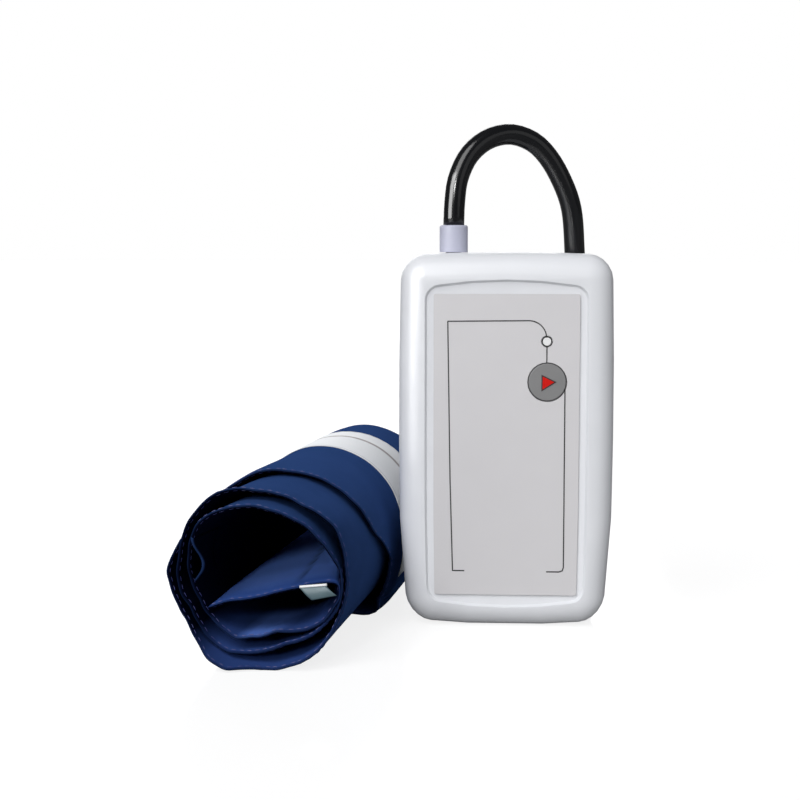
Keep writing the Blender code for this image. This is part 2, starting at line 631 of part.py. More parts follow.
def make_rear_shell(material):
    """The back half: battery bay with its thumb notch, and a sunk boss for each screw."""
    lip_inset = CASE_WALL / 2 - FIT_GAP
    rim_y = PARTING_Y + FIT_GAP
    step_y = rim_y + LIP_HEIGHT
    rings = fillet_rings(REAR_Y, -1, CASE_REAR_FILLET, 0)
    rings.append(case_ring(0, rim_y))
    rings.append(case_ring(lip_inset, rim_y))
    rings.append(case_ring(lip_inset, step_y))
    rings.append(case_ring(CASE_WALL, step_y))
    rings.extend(reversed(fillet_rings(REAR_Y, -1, CASE_REAR_FILLET, CASE_WALL)))
    shape = bmesh.new()
    add_loft(shape, rings)
    shell = make_object("rear_shell", shape, material)
    outer_x = BAY_HALF_WIDTH + BAY_WALL

    def bay(tool):
        low = (-outer_x, BAY_FLOOR_Y - BAY_WALL, BAY_BOTTOM - BAY_WALL)
        add_box(tool, low, (outer_x, INNER_REAR_Y + CASE_WALL / 4, BAY_OUTER_TOP))
        for x, z in screw_places():
            radius = SCREW_HEAD_RADIUS + FIT_GAP + BOSS_WALL
            add_turned(tool, (x, 0, z), "Y", rod(step_y, INNER_REAR_Y + CASE_WALL / 4, radius), SMALL_SEGMENTS)

    def bay_hollow(tool):
        add_box(tool, (-BAY_HALF_WIDTH, BAY_FLOOR_Y, BAY_BOTTOM), (BAY_HALF_WIDTH, INNER_REAR_Y, BAY_TOP))

    def door_opening(tool):
        low = (-BAY_HALF_WIDTH, INNER_REAR_Y - OVERRUN, BAY_BOTTOM + DOOR_LIP)
        add_box(tool, low, (BAY_HALF_WIDTH, REAR_Y + OVERRUN, BAY_TOP))
        for x, z in screw_places():
            radius = SCREW_HEAD_RADIUS + FIT_GAP
            floor = REAR_Y - SCREW_HEAD_SUNK
            add_turned(tool, (x, 0, z), "Y", rod(floor, REAR_Y + OVERRUN, radius), SMALL_SEGMENTS)

    def screw_holes(tool):
        for x, z in screw_places():
            radius = SCREW_SHANK_RADIUS + FIT_GAP
            add_turned(tool, (x, 0, z), "Y", rod(0, REAR_Y - SCREW_HEAD_SUNK + OVERRUN, radius), SMALL_SEGMENTS)

    def notch(tool):
        points = []
        for step in range(SMALL_SEGMENTS + 1):
            turn = math.pi * step / SMALL_SEGMENTS
            up = BAY_TOP + THUMB_NOTCH_HEIGHT * math.sin(turn)
            points.append((THUMB_NOTCH_HALF_WIDTH * math.cos(turn), up))
        points.append((-THUMB_NOTCH_HALF_WIDTH, BAY_TOP - OVERRUN))
        points.append((THUMB_NOTCH_HALF_WIDTH, BAY_TOP - OVERRUN))
        add_loft(tool, [[(x, y, z) for x, z in points] for y in (REAR_Y - THUMB_NOTCH_DEPTH, REAR_Y + OVERRUN)])

    join(shell, "rear_bay_walls", bay)
    cut(shell, "rear_bay_hollow", bay_hollow)
    cut(shell, "rear_door_opening", door_opening)
    cut(shell, "rear_screw_holes", screw_holes)
    cut(shell, "rear_thumb_notch", notch)
    cut(shell, "rear_port_hole", port_hole)
    return shell


def make_screws(material):
    """Four slotted screws that draw the shells together from behind."""
    head_bottom = REAR_Y - SCREW_HEAD_SUNK + FIT_GAP
    head_top = head_bottom + SCREW_HEAD_HEIGHT
    tip = head_bottom - SCREW_LENGTH
    for number, (x, z) in enumerate(screw_places(), 1):
        profile = [(0, tip), (SCREW_SHANK_RADIUS, tip), (SCREW_SHANK_RADIUS, head_bottom),
                   (SCREW_HEAD_RADIUS, head_bottom), (SCREW_HEAD_RADIUS, head_top), (0, head_top)]
        screw = turned(f"case_screw_{number}", material, (x, 0, z), "Y", profile, SMALL_SEGMENTS)

        def slot(tool, x=x, z=z):
            low = (x - SCREW_HEAD_RADIUS - OVERRUN, head_top - SCREW_SLOT_DEPTH, z - SCREW_SLOT_WIDTH / 2)
            high = (x + SCREW_HEAD_RADIUS + OVERRUN, head_top + OVERRUN, z + SCREW_SLOT_WIDTH / 2)
            add_box(tool, low, high)

        cut(screw, f"screw_slot_{number}", slot)


def make_label(material):
    """The thin printed panel in the recess, with its holes for the button and the window."""
    half_x = CASE_WIDTH / 2 - LABEL_SIDE_INSET
    top = CASE_TOP - LABEL_TOP_INSET
    half_z = (top - LABEL_BOTTOM_INSET) / 2
    middle = (top + LABEL_BOTTOM_INSET) / 2
    outline = bowed_outline(half_x, half_z, LABEL_CORNER_RADIUS, (LABEL_FOOT_TAPER, 0), (0, 0))
    shape = bmesh.new()
    add_loft(shape, [[(x, y, middle + z) for x, z in outline] for y in (LABEL_FRONT_Y, LABEL_BACK_Y)])
    label = make_object("front_label", shape, material)

    def holes(tool):
        low = LABEL_FRONT_Y - OVERRUN
        high = LABEL_BACK_Y + OVERRUN
        add_turned(tool, (BUTTON_X, 0, BUTTON_Z), "Y", rod(low, high, BUTTON_RADIUS + FIT_GAP))
        add_turned(tool, (WINDOW_X, 0, WINDOW_Z), "Y", rod(low, high, WINDOW_RADIUS + FIT_GAP), SMALL_SEGMENTS)

    cut(label, "label_holes", holes)


def make_button(cap, board_parts):
    """The start button, pressed into the case against the switch on the board."""
    switch_back = BOARD_FRONT_Y - FIT_GAP
    switch_front = switch_back - SWITCH_HEIGHT
    tip_front = switch_front - SWITCH_TIP_HEIGHT
    stem_end = tip_front - BUTTON_TRAVEL - BUTTON_SPARE_TRAVEL
    face = LABEL_FRONT_Y - BUTTON_PROUD
    flange_front = INNER_FRONT_Y + FIT_GAP
    flange_back = flange_front + BUTTON_FLANGE_THICKNESS
    flange_radius = BUTTON_RADIUS + BUTTON_FLANGE
    profile = [(0, face), (BUTTON_RADIUS - BUTTON_EDGE, face), (BUTTON_RADIUS, face + BUTTON_EDGE),
               (BUTTON_RADIUS, flange_front), (flange_radius, flange_front), (flange_radius, flange_back),
               (BUTTON_STEM_RADIUS, flange_back), (BUTTON_STEM_RADIUS, stem_end), (0, stem_end)]
    button = turned("start_button", cap, (BUTTON_X, 0, BUTTON_Z), "Y", profile)
    set_origin(button, (BUTTON_X, FRONT_Y, BUTTON_Z))

    shape = bmesh.new()
    half = SWITCH_SIDE / 2
    add_box(shape, (BUTTON_X - half, switch_front, BUTTON_Z - half),
            (BUTTON_X + half, switch_back, BUTTON_Z + half))
    switch = make_object("tact_switch", shape, board_parts)
    tip = rod(tip_front, switch_front + SWITCH_HEIGHT / 2, SWITCH_TIP_RADIUS)
    join(switch, "switch_tip", lambda tool: add_turned(tool, (BUTTON_X, 0, BUTTON_Z), "Y", tip, SMALL_SEGMENTS))


def make_window(lens, diode):
    """The clear window of the status light and the light behind it."""
    face = LABEL_FRONT_Y
    flange_front = INNER_FRONT_Y + FIT_GAP
    flange_back = flange_front + WINDOW_FLANGE_THICKNESS
    wide = WINDOW_RADIUS + WINDOW_FLANGE
    led_back = BOARD_FRONT_Y - FIT_GAP
    led_front = led_back - STATUS_LED_SIZE[1]
    pipe_end = led_front - FIT_GAP
    profile = [(0, face), (WINDOW_RADIUS, face), (WINDOW_RADIUS, flange_front), (wide, flange_front),
               (wide, flange_back), (WINDOW_RADIUS, flange_back), (WINDOW_RADIUS, pipe_end), (0, pipe_end)]
    turned("led_window", lens, (WINDOW_X, 0, WINDOW_Z), "Y", profile, SMALL_SEGMENTS)
    half_x = STATUS_LED_SIZE[0] / 2
    half_z = STATUS_LED_SIZE[2] / 2
    boxed("status_led", diode, (WINDOW_X - half_x, led_front, WINDOW_Z - half_z),
          (WINDOW_X + half_x, led_back, WINDOW_Z + half_z))


def make_board(board, black, metal):
    """The main board, notched at its corners for the screw bosses, and its larger parts."""
    half_x = CASE_HALF_X - CASE_WALL - BOARD_SIDE_ROOM
    low_z = BOARD_END_ROOM
    high_z = CASE_TOP - BOARD_END_ROOM
    boss = SCREW_HEAD_RADIUS + FIT_GAP + BOSS_WALL + FIT_GAP
    notch_x = CASE_WIDTH / 2 - SCREW_INSET_X - boss
    notch_low = SCREW_INSET_Z + boss
    notch_high = CASE_TOP - notch_low
    outline = [(-notch_x, low_z), (notch_x, low_z), (notch_x, notch_low), (half_x, notch_low),
               (half_x, notch_high), (notch_x, notch_high), (notch_x, high_z), (-notch_x, high_z),
               (-notch_x, notch_high), (-half_x, notch_high), (-half_x, notch_low), (-notch_x, notch_low)]
    shape = bmesh.new()
    add_loft(shape, [[(x, y, z) for x, z in outline] for y in (BOARD_FRONT_Y, BOARD_BACK_Y)])
    make_object("main_board", shape, board)

    back = BOARD_BACK_Y + FIT_GAP
    half = CHIP_SIDE / 2
    boxed("processor_chip", black, (-half, back, CHIP_ABOVE_BASE - half),
          (half, back + CHIP_HEIGHT, CHIP_ABOVE_BASE + half))
    front = BOARD_FRONT_Y - FIT_GAP
    top = front - BUZZER_HEIGHT
    profile = [(0, front), (BUZZER_RADIUS, front), (BUZZER_RADIUS, top), (BUZZER_SOUND_HOLE_RADIUS, top),
               (BUZZER_SOUND_HOLE_RADIUS, top + BUZZER_SOUND_HOLE_DEPTH), (0, top + BUZZER_SOUND_HOLE_DEPTH)]
    turned("buzzer", black, (-BUZZER_LEFT, 0, BUZZER_ABOVE_BASE), "Y", profile, SMALL_SEGMENTS)

    sensor_z = AIR_BLOCK_TOP - SENSOR_BELOW_TOP
    body_back = back + SENSOR_HEIGHT
    block_front = -AIR_BLOCK_DEPTH / 2
    half = SENSOR_SIDE / 2
    shape = bmesh.new()
    add_box(shape, (AIR_BLOCK_X - half, back, sensor_z - half),
            (AIR_BLOCK_X + half, body_back, sensor_z + half))
    sensor = make_object("pressure_sensor", shape, metal)
    nozzle = rod(body_back - SENSOR_HEIGHT / 2, block_front - FIT_GAP, SENSOR_NOZZLE_RADIUS)
    join(sensor, "sensor_nozzle", lambda tool: add_turned(
        tool, (AIR_BLOCK_X, 0, sensor_z), "Y", nozzle, SMALL_SEGMENTS))


def make_air_parts(plastic, rubber):
    """The air block with its ducts, the tubes and the port that the plug goes into."""
    half_y = AIR_BLOCK_DEPTH / 2
    block = boxed("air_block", plastic, (AIR_BLOCK_LEFT, -half_y, AIR_BLOCK_BOTTOM),
                  (AIR_BLOCK_RIGHT, half_y, AIR_BLOCK_TOP),
                  AIR_BLOCK_EDGE)
    tube_z = AIR_BLOCK_TOP - PUMP_TUBE_BELOW_TOP
    seat_radius = PLUNGER_RADIUS + FIT_GAP
    seat = AIR_BLOCK_BOTTOM + PLUNGER_SEAT_DEPTH
    outlet = seat + AIR_OUTLET_LENGTH
    down = [(0, AIR_BLOCK_BOTTOM - OVERRUN), (seat_radius, AIR_BLOCK_BOTTOM - OVERRUN), (seat_radius, seat),
            (AIR_OUTLET_RADIUS, seat), (AIR_OUTLET_RADIUS, outlet), (AIR_DUCT_RADIUS, outlet),
            (AIR_DUCT_RADIUS, AIR_BLOCK_TOP + OVERRUN), (0, AIR_BLOCK_TOP + OVERRUN)]
    across = rod(AIR_BLOCK_X, AIR_BLOCK_RIGHT + OVERRUN, AIR_DUCT_RADIUS)
    sensor_z = AIR_BLOCK_TOP - SENSOR_BELOW_TOP
    forward = rod(-half_y - OVERRUN, 0, AIR_OUTLET_RADIUS)
    cut(block, "block_duct_down", lambda tool: add_turned(tool, (PORT_X, PORT_Y, 0), "Z", down, SMALL_SEGMENTS))
    cut(block, "block_duct_across", lambda tool: add_turned(tool, (0, 0, tube_z), "X", across, SMALL_SEGMENTS))
    cut(block, "block_duct_forward",
        lambda tool: add_turned(tool, (AIR_BLOCK_X, 0, sensor_z), "Y", forward, SMALL_SEGMENTS))

    head_top = PUMP_Z + PUMP_HEAD_HALF
    pump_x = (PUMP_HEAD_LEFT + PUMP_HEAD_RIGHT) / 2
    start = Vector((AIR_BLOCK_RIGHT + FIT_GAP, 0, tube_z))
    end = Vector((pump_x, PUMP_Y, head_top + FIT_GAP))
    reach = (end.x - start.x) / 2
    points = [start, start + Vector((reach, 0, 0)), end + Vector((0, 0, TUBE_RADIUS * 2)), end]
    make_tube("pump_tube", rubber, smooth_route(points, TUBE_RADIUS), TUBE_RADIUS * 2, 1)

    low = BOARD_BACK_Y + FIT_GAP + SENSOR_HEIGHT + FIT_GAP
    high = -half_y - FIT_GAP
    inner = SENSOR_NOZZLE_RADIUS + FIT_GAP
    turned("sensor_seal", rubber, (AIR_BLOCK_X, 0, sensor_z), "Y",
           ring_profile(low, high, inner, inner + SENSOR_TUBE_WALL), SMALL_SEGMENTS)

    flange_top = CASE_INNER_TOP - FIT_GAP
    flange_bottom = flange_top - PORT_FLANGE_HEIGHT
    socket_floor = PORT_TOP - PORT_SOCKET_DEPTH
    profile = [(PORT_DUCT_RADIUS, PORT_BOTTOM), (PORT_RADIUS, PORT_BOTTOM), (PORT_RADIUS, flange_bottom),
               (PORT_FLANGE_RADIUS, flange_bottom), (PORT_FLANGE_RADIUS, flange_top), (PORT_RADIUS, flange_top),
               (PORT_RADIUS, PORT_TOP), (SOCKET_RADIUS, PORT_TOP), (SOCKET_RADIUS, socket_floor),
               (PORT_DUCT_RADIUS, socket_floor)]
    turned("air_port", plastic, (PORT_X, PORT_Y, 0), "Z", profile)


def make_valve(steel, brass):
    """The release valve and the plunger that closes the air block's outlet."""
    bore = PLUNGER_RADIUS + FIT_GAP
    floor = VALVE_TOP - VALVE_BORE_DEPTH
    profile = [(0, VALVE_BOTTOM), (VALVE_RADIUS, VALVE_BOTTOM), (VALVE_RADIUS, VALVE_TOP),
               (bore, VALVE_TOP), (bore, floor), (0, floor)]
    turned("release_valve", steel, (AIR_BLOCK_X, 0, 0), "Z", profile, SMALL_SEGMENTS)
    low = floor + PLUNGER_FLOOR_ROOM
    high = AIR_BLOCK_BOTTOM + PLUNGER_SEAT_DEPTH - FIT_GAP
    neck = high - PLUNGER_TIP_LENGTH
    profile = [(0, low), (PLUNGER_RADIUS, low), (PLUNGER_RADIUS, neck), (PLUNGER_TIP_RADIUS, neck),
               (PLUNGER_TIP_RADIUS, high), (0, high)]
    plunger = turned("valve_plunger", brass, (AIR_BLOCK_X, 0, 0), "Z", profile, SMALL_SEGMENTS)
    set_origin(plunger, (AIR_BLOCK_X, 0, VALVE_TOP))


def make_pump(steel, plastic, rubber):
    """The motor, its rotor with the eccentric that drives the diaphragm, the head and the cradle."""
    centre = (0, PUMP_Y, PUMP_Z)
    bearing = SHAFT_RADIUS + FIT_GAP
    bore = MOTOR_RADIUS - MOTOR_CAN_WALL
    end_wall = MOTOR_RIGHT - MOTOR_END_WALL
    profile = [(MOTOR_RADIUS, MOTOR_LEFT), (MOTOR_RADIUS, MOTOR_RIGHT), (bearing, MOTOR_RIGHT),
               (bearing, end_wall), (bore, end_wall), (bore, MOTOR_LEFT)]
    turned("pump_motor", steel, centre, "X", profile)

    core = bore - ROTOR_CORE_GAP
    core_left = MOTOR_LEFT + ROTOR_CORE_END_ROOM
    core_right = end_wall - ROTOR_CORE_END_ROOM
    eccentric_right = PUMP_HEAD_RIGHT - ECCENTRIC_FROM_FACE
    eccentric_left = eccentric_right - ECCENTRIC_LENGTH
    eccentric_middle = eccentric_left + ECCENTRIC_LENGTH / 2
    profile = [(0, eccentric_middle), (SHAFT_RADIUS, eccentric_middle),
               (SHAFT_RADIUS, core_left), (core, core_left), (core, core_right), (SHAFT_RADIUS, core_right),
               (SHAFT_RADIUS, MOTOR_RIGHT - SHAFT_TIP), (0, MOTOR_RIGHT - SHAFT_TIP)]
    rotor = turned("pump_rotor", steel, centre, "X", profile, SMALL_SEGMENTS)
    disc = rod(eccentric_left, eccentric_right, ECCENTRIC_RADIUS)
    off_centre = (0, PUMP_Y + ECCENTRIC_OFFSET, PUMP_Z)
    join(rotor, "rotor_eccentric", lambda tool: add_turned(tool, off_centre, "X", disc, SMALL_SEGMENTS))

    half = PUMP_HEAD_HALF
    head = boxed("pump_head", plastic, (PUMP_HEAD_LEFT, PUMP_Y - half, PUMP_Z - half),
                 (PUMP_HEAD_RIGHT, PUMP_Y + half, PUMP_Z + half), PUMP_HEAD_EDGE)
    hollow = rod(PUMP_HEAD_LEFT + PUMP_HEAD_WALL, PUMP_HEAD_RIGHT + OVERRUN, half - PUMP_HEAD_WALL)
    cut(head, "head_hollow", lambda tool: add_turned(tool, centre, "X", hollow))

    outer = MOTOR_RADIUS + FIT_GAP + CRADLE_CHEEK
    cradle = boxed("pump_cradle", rubber, (MOTOR_LEFT + CRADLE_END_ROOM, PUMP_Y, PUMP_Z - outer),
                   (MOTOR_RIGHT - CRADLE_END_ROOM, INNER_REAR_Y - FIT_GAP, PUMP_Z + outer))
    seat = rod(MOTOR_LEFT, MOTOR_RIGHT, MOTOR_RADIUS + FIT_GAP)
    cut(cradle, "cradle_seat", lambda tool: add_turned(tool, centre, "X", seat))


def make_cells(jacket, spring_metal):
    """Two cells in series, head to tail, between sprung contacts."""
    low = BAY_BOTTOM + FIT_GAP + CONTACT_THICKNESS + FIT_GAP
    high = BAY_TOP - FIT_GAP - CONTACT_THICKNESS - FIT_GAP
    nub = CELL_NUB_DIAMETER / 2

    def cell(name, x, nub_end, inward):
        shoulder = nub_end + inward * CELL_NUB_HEIGHT
        far = shoulder + inward * CELL_BODY_LENGTH
        profile = [(0, nub_end), (nub, nub_end), (nub, shoulder), (CELL_RADIUS - CELL_EDGE, shoulder),
                   (CELL_RADIUS, shoulder + inward * CELL_EDGE), (CELL_RADIUS, far - inward * CELL_EDGE),
                   (CELL_RADIUS - CELL_EDGE, far), (0, far)]
        turned(name, jacket, (x, CELL_Y, 0), "Z", profile)

    cell("battery_1", -CELL_X, high, -1)
    cell("battery_2", CELL_X, low, 1)

    def spring(name, x, foot, direction):
        rise = CONTACT_SPRING_LENGTH - CONTACT_SPRING_WIRE - FIT_GAP
        count = CONTACT_SPRING_TURNS * CONTACT_SPRING_STEPS
        points = []
        for step in range(count + 1):
            share = step / count
            turn = math.tau * CONTACT_SPRING_TURNS * share
            radius = CONTACT_SPRING_WIDE + (CONTACT_SPRING_NARROW - CONTACT_SPRING_WIDE) * share
            z = foot + direction * (CONTACT_SPRING_WIRE / 2 + rise * share)
            points.append(Vector((x + radius * math.cos(turn), CELL_Y + radius * math.sin(turn), z)))
        make_tube(name, spring_metal, points, CONTACT_SPRING_WIRE, 0)

    spring("contact_spring_1", -CELL_X, low, 1)
    spring("contact_spring_2", CELL_X, high, -1)

    half_y = CELL_RADIUS - CELL_SIDE_PLAY
    edge = BAY_HALF_WIDTH - FIT_GAP
    lowest = BAY_BOTTOM + FIT_GAP
    highest = BAY_TOP - FIT_GAP
    between = CELL_X - CONTACT_SPRING_WIDE - CONTACT_SPRING_WIRE
    depth = (CELL_Y - half_y, CELL_Y + half_y)
    boxed("contact_bridge", spring_metal, (-edge, depth[0], lowest),
          (edge, depth[1], lowest + CONTACT_THICKNESS))
    boxed("contact_positive", spring_metal, (-edge, depth[0], highest - CONTACT_THICKNESS),
          (-between, depth[1], highest))
    boxed("contact_negative", spring_metal, (between, depth[0], highest - CONTACT_THICKNESS),
          (edge, depth[1], highest))


def make_door(material):
    """The battery door: it tilts out about its lower edge, held by a tab behind the case's skin."""
    low_z = BAY_BOTTOM + DOOR_LIP + FIT_GAP
    high_z = BAY_TOP - FIT_GAP
    half_x = BAY_HALF_WIDTH - FIT_GAP
    door = boxed("battery_door", material, (-half_x, DOOR_INNER_Y, low_z), (half_x, REAR_Y, high_z))
    tab_back = INNER_REAR_Y - FIT_GAP
    tab_front = tab_back - DOOR_TAB_THICKNESS
    root_z = low_z + DOOR_TAB_THICKNESS

    def tab(tool):
        middle_y = DOOR_INNER_Y + DOOR_THICKNESS / 2
        foot_z = low_z - DOOR_TAB_REACH
        side = [(middle_y, low_z), (tab_back, low_z), (tab_back, foot_z), (tab_front, foot_z),
                (tab_front, root_z), (middle_y, root_z)]
        add_loft(tool, [[(x, y, z) for y, z in side] for x in (-DOOR_TAB_HALF_WIDTH, DOOR_TAB_HALF_WIDTH)])

    def grips(tool):
        for number in range(DOOR_GRIP_COUNT):
            z = high_z - DOOR_GRIP_BELOW_EDGE - number * DOOR_GRIP_PITCH
            add_box(tool, (-DOOR_GRIP_HALF_LENGTH, REAR_Y - DOOR_GRIP_DEPTH, z - DOOR_GRIP_WIDTH / 2),
                    (DOOR_GRIP_HALF_LENGTH, REAR_Y + OVERRUN, z + DOOR_GRIP_WIDTH / 2))

    join(door, "door_tab", tab)
    cut(door, "door_grips", grips)
    set_origin(door, (0, REAR_Y, low_z))


def make_plug(collar_material, stem_material, rubber):
    """The hose's push-in plug: a collar on the case, a barbed stem in the port and its seal."""
    tip = PORT_TOP - PORT_SOCKET_DEPTH + STEM_SOCKET_ROOM
    stem_top = COLLAR_TOP - STEM_TOP_ROOM
    groove_low = tip + SEAL_ABOVE_TIP
    groove_high = groove_low + SEAL_GROOVE_HEIGHT
    groove_radius = STEM_RADIUS - 2 * SEAL_RADIUS - FIT_GAP
    profile = [(STEM_BORE_RADIUS, tip), (STEM_RADIUS - STEM_TIP_CHAMFER, tip),
               (STEM_RADIUS, tip + STEM_TIP_CHAMFER),
               (STEM_RADIUS, groove_low), (groove_radius, groove_low), (groove_radius, groove_high),
               (STEM_RADIUS, groove_high), (STEM_RADIUS, COLLAR_BOTTOM)]
    barb_height = (stem_top - COLLAR_BOTTOM) / 3
    for number in range(3):
        low = COLLAR_BOTTOM + number * barb_height
        profile.append((STEM_RADIUS, low + barb_height / 2))
        profile.append((STEM_RADIUS - STEM_BARB, low + barb_height))
    profile.append((STEM_BORE_RADIUS, stem_top))
    stem = turned("plug_stem", stem_material, (PORT_X, PORT_Y, 0), "Z", profile, SMALL_SEGMENTS)
    bore = STEM_RADIUS + FIT_GAP
    inset = COLLAR_RADIUS - COLLAR_EDGE
    profile = [(bore, COLLAR_BOTTOM), (inset, COLLAR_BOTTOM), (COLLAR_RADIUS, COLLAR_BOTTOM + COLLAR_EDGE),
               (COLLAR_RADIUS, COLLAR_TOP - COLLAR_EDGE), (inset, COLLAR_TOP), (bore, COLLAR_TOP)]
    collar = turned("plug_collar", collar_material, (PORT_X, PORT_Y, 0), "Z", profile)
    middle = (groove_low + groove_high) / 2
    ring = groove_radius + FIT_GAP + SEAL_RADIUS
    profile = []
    for step in range(SEAL_SEGMENTS):
        turn = math.tau * step / SEAL_SEGMENTS
        profile.append((ring + SEAL_RADIUS * math.cos(turn), middle + SEAL_RADIUS * math.sin(turn)))
    seal = turned("plug_seal", rubber, (PORT_X, PORT_Y, 0), "Z", profile, SMALL_SEGMENTS)
    for piece in (stem, collar, seal):
        set_origin(piece, (PORT_X, PORT_Y, CASE_TOP))


def smooth_route(points, step):
    """Reads evenly spaced points from a smooth curve through the given ones."""
    fine = []
    ends = [points[0] * 2 - points[1]] + list(points) + [points[-1] * 2 - points[-2]]
    parts = 16
    for before, start, end, after in zip(ends, ends[1:], ends[2:], ends[3:]):
        for part in range(parts):
            t = part / parts
            fine.append((start * 2 + (end - before) * t + (before * 2 - start * 5 + end * 4 - after) * t ** 2
                         + (start * 3 - before - end * 3 + after) * t ** 3) / 2)
    fine.append(Vector(points[-1]))
    lengths = [0.0]
    for first, second in zip(fine, fine[1:]):
        lengths.append(lengths[-1] + (second - first).length)
    count = max(2, round(lengths[-1] / step))
    even = []
    place = 0
    for number in range(count + 1):
        want = lengths[-1] * number / count
        while place < len(fine) - 2 and lengths[place + 1] < want:
            place += 1
        span = lengths[place + 1] - lengths[place]
        even.append(fine[place].lerp(fine[place + 1], (want - lengths[place]) / span))
    return even


def make_tube(name, material, points, diameter, bevel_steps):
    """A round tube along the points, closed at both ends."""
    curve = bpy.data.curves.new(name, "CURVE")
    curve.dimensions = "3D"
    curve.bevel_depth = diameter / 2
    curve.bevel_resolution = bevel_steps
    curve.use_fill_caps = True
    spline = curve.splines.new("POLY")
    spline.points.add(len(points) - 1)
    for point, place in zip(spline.points, points):
        point.co = (*place, 1.0)
    spline.use_smooth = True
    curve.materials.append(material)
    tube = bpy.data.objects.new(name, curve)
    bpy.context.scene.collection.objects.link(tube)
    return tube


def coil_point(turns):
    """A point of the coil: it spirals in on the floor, climbs while it turns back, and spirals out above."""
    radius = COIL_RADIUS - COIL_LAP * min(turns, COIL_TURNS - turns)
    climb = min(1, max(0, (turns - COIL_TURNS / 2) * 2 + 1 / 2))
    turn = math.tau * turns
    return Vector((COIL_CENTRE[0] + radius * math.cos(turn), COIL_CENTRE[1] + radius * math.sin(turn),
                   HOSE_DIAMETER / 2 + COIL_LAYER * climb ** 2 * (3 - 2 * climb)))


def coil_points():
    """The stored length, with a straight diameter at each end."""
    count = round(COIL_TURNS * COIL_STEPS_PER_TURN)
    points = [coil_point(COIL_TURNS * number / count) for number in range(count + 1)]
    small = COIL_TANGENT_TURNS
    first = (coil_point(0) - coil_point(small)).normalized()
    last = (coil_point(COIL_TURNS) - coil_point(COIL_TURNS - small)).normalized()
    return [points[0] + first * HOSE_DIAMETER] + points + [points[-1] + last * HOSE_DIAMETER]


def hose_routes():
    """The hose from the plug's collar to the coil, and from the coil to the cuff's port."""
    coil = coil_points()
    into_coil = (coil[1] - coil[0]).normalized()
    out_of_coil = (coil[-1] - coil[-2]).normalized()
    floor = HOSE_DIAMETER / 2
    start = Vector((PORT_X, PORT_Y, COLLAR_TOP + FIT_GAP))
    arch = [start] + [Vector(point) for point in HOSE_ARCH]
    arch += [Vector((*point, floor)) for point in HOSE_ON_FLOOR]
    meeting = coil[0] - into_coil * FIT_GAP
    arch.append(meeting - into_coil * HOSE_DIAMETER)
    arch.append(meeting)
    leaving = coil[-1] + out_of_coil * FIT_GAP
    port = air_port_place() + CUFF_ALONG * (AIR_PORT_LENGTH + 2 * FIT_GAP)
    tail = [leaving, leaving + out_of_coil * HOSE_DIAMETER] + [Vector(point) for point in HOSE_TAIL]
    tail += [port + CUFF_ALONG * HOSE_DIAMETER, port]
    step = HOSE_DIAMETER * HOSE_STEP_SHARE
    return smooth_route(arch, step), coil, smooth_route(tail, step)


def make_hose(rubber):
    arch, coil, tail = hose_routes()
    make_tube("hose_arch", rubber, arch, HOSE_DIAMETER, HOSE_BEVEL_STEPS)
    make_tube("hose_coil", rubber, coil, HOSE_DIAMETER, COIL_BEVEL_STEPS)
    make_tube("hose_tail", rubber, tail, HOSE_DIAMETER, HOSE_BEVEL_STEPS)
    report_hose([*arch, *coil, *tail])


def report_hose(points):
    """Prints the hose's length and the least gap that it leaves to itself."""
    places = [0.0]
    for first, second in zip(points, points[1:]):
        places.append(places[-1] + (second - first).length)
    least = math.inf
    for i, first in enumerate(points):
        for j in range(i + 1, len(points)):
            if places[j] - places[i] > 3 * HOSE_DIAMETER:
                least = min(least, (points[j] - first).length)
    print(f"hose length {places[-1]:.4f} m, least gap to itself {least - HOSE_DIAMETER:.5f} m")


def read_table(rows, place):
    """The value at a place, read between the rows of a table of places and values."""
    for (low, first), (high, second) in zip(rows, rows[1:]):
        if place <= high:
            return first + (second - first) * max(0, (place - low) / (high - low))
    return rows[-1][1]


def roll_radius(degrees):
    """The middle of the cuff's thickness at an angle from the right-hand side, counted inwards."""
    laps = laps_in(degrees)
    bulge = CUFF_BULGE * read_table(CUFF_BULGE_SHARES, degrees % 360) * (1 - CUFF_BULGE_DECAY_SHARE * laps)
    radius = CUFF_MIDDLE_RADIUS - CUFF_LAP * laps + bulge
    if degrees < CUFF_TAIL_LEAVES_DEGREES:
        share = (CUFF_TAIL_LEAVES_DEGREES - degrees) / (CUFF_TAIL_LEAVES_DEGREES - CUFF_TAIL_DEGREES)
        radius += CUFF_TAIL_FLARE * share ** CUFF_TAIL_BEND_POWER
    return radius


def laps_in(degrees):
    """How many laps lie outside: each step inwards is made between the foot and the right-hand side."""
    turns = max(0, (degrees - 270) / 360)
    ramp = min(1, (turns - math.floor(turns)) / CUFF_STEP_INWARDS_SHARE)
    return math.floor(turns) + ramp ** 2 * (3 - 2 * ramp)


def roll_point(degrees):
    turn = math.radians(degrees)
    radius = roll_radius(degrees)
    return (radius * math.cos(turn), radius * math.sin(turn))


def cuff_path():
    """(angle, right, up) along the cuff, from its end tucked under on the floor to the flap across its bore."""
    lying = CUFF_THICKNESS / 2 - CUFF_CENTRE_Z
    tuck = len(CUFF_TUCK)
    path = []
    for number, (right, lift) in enumerate(CUFF_TUCK):
        path.append((CUFF_TAIL_DEGREES - CUFF_STEP_DEGREES * (tuck - number) / tuck, right, lying + lift))
    count = round((CUFF_INNER_DEGREES - CUFF_TAIL_DEGREES) / CUFF_STEP_DEGREES)
    for number in range(count + 1):
        degrees = CUFF_TAIL_DEGREES + (CUFF_INNER_DEGREES - CUFF_TAIL_DEGREES) * number / count
        path.append((degrees, *roll_point(degrees)))
    for number, (right, up) in enumerate(CUFF_FLAP):
        path.append((CUFF_INNER_DEGREES + 1 + number, right, up))
    return path


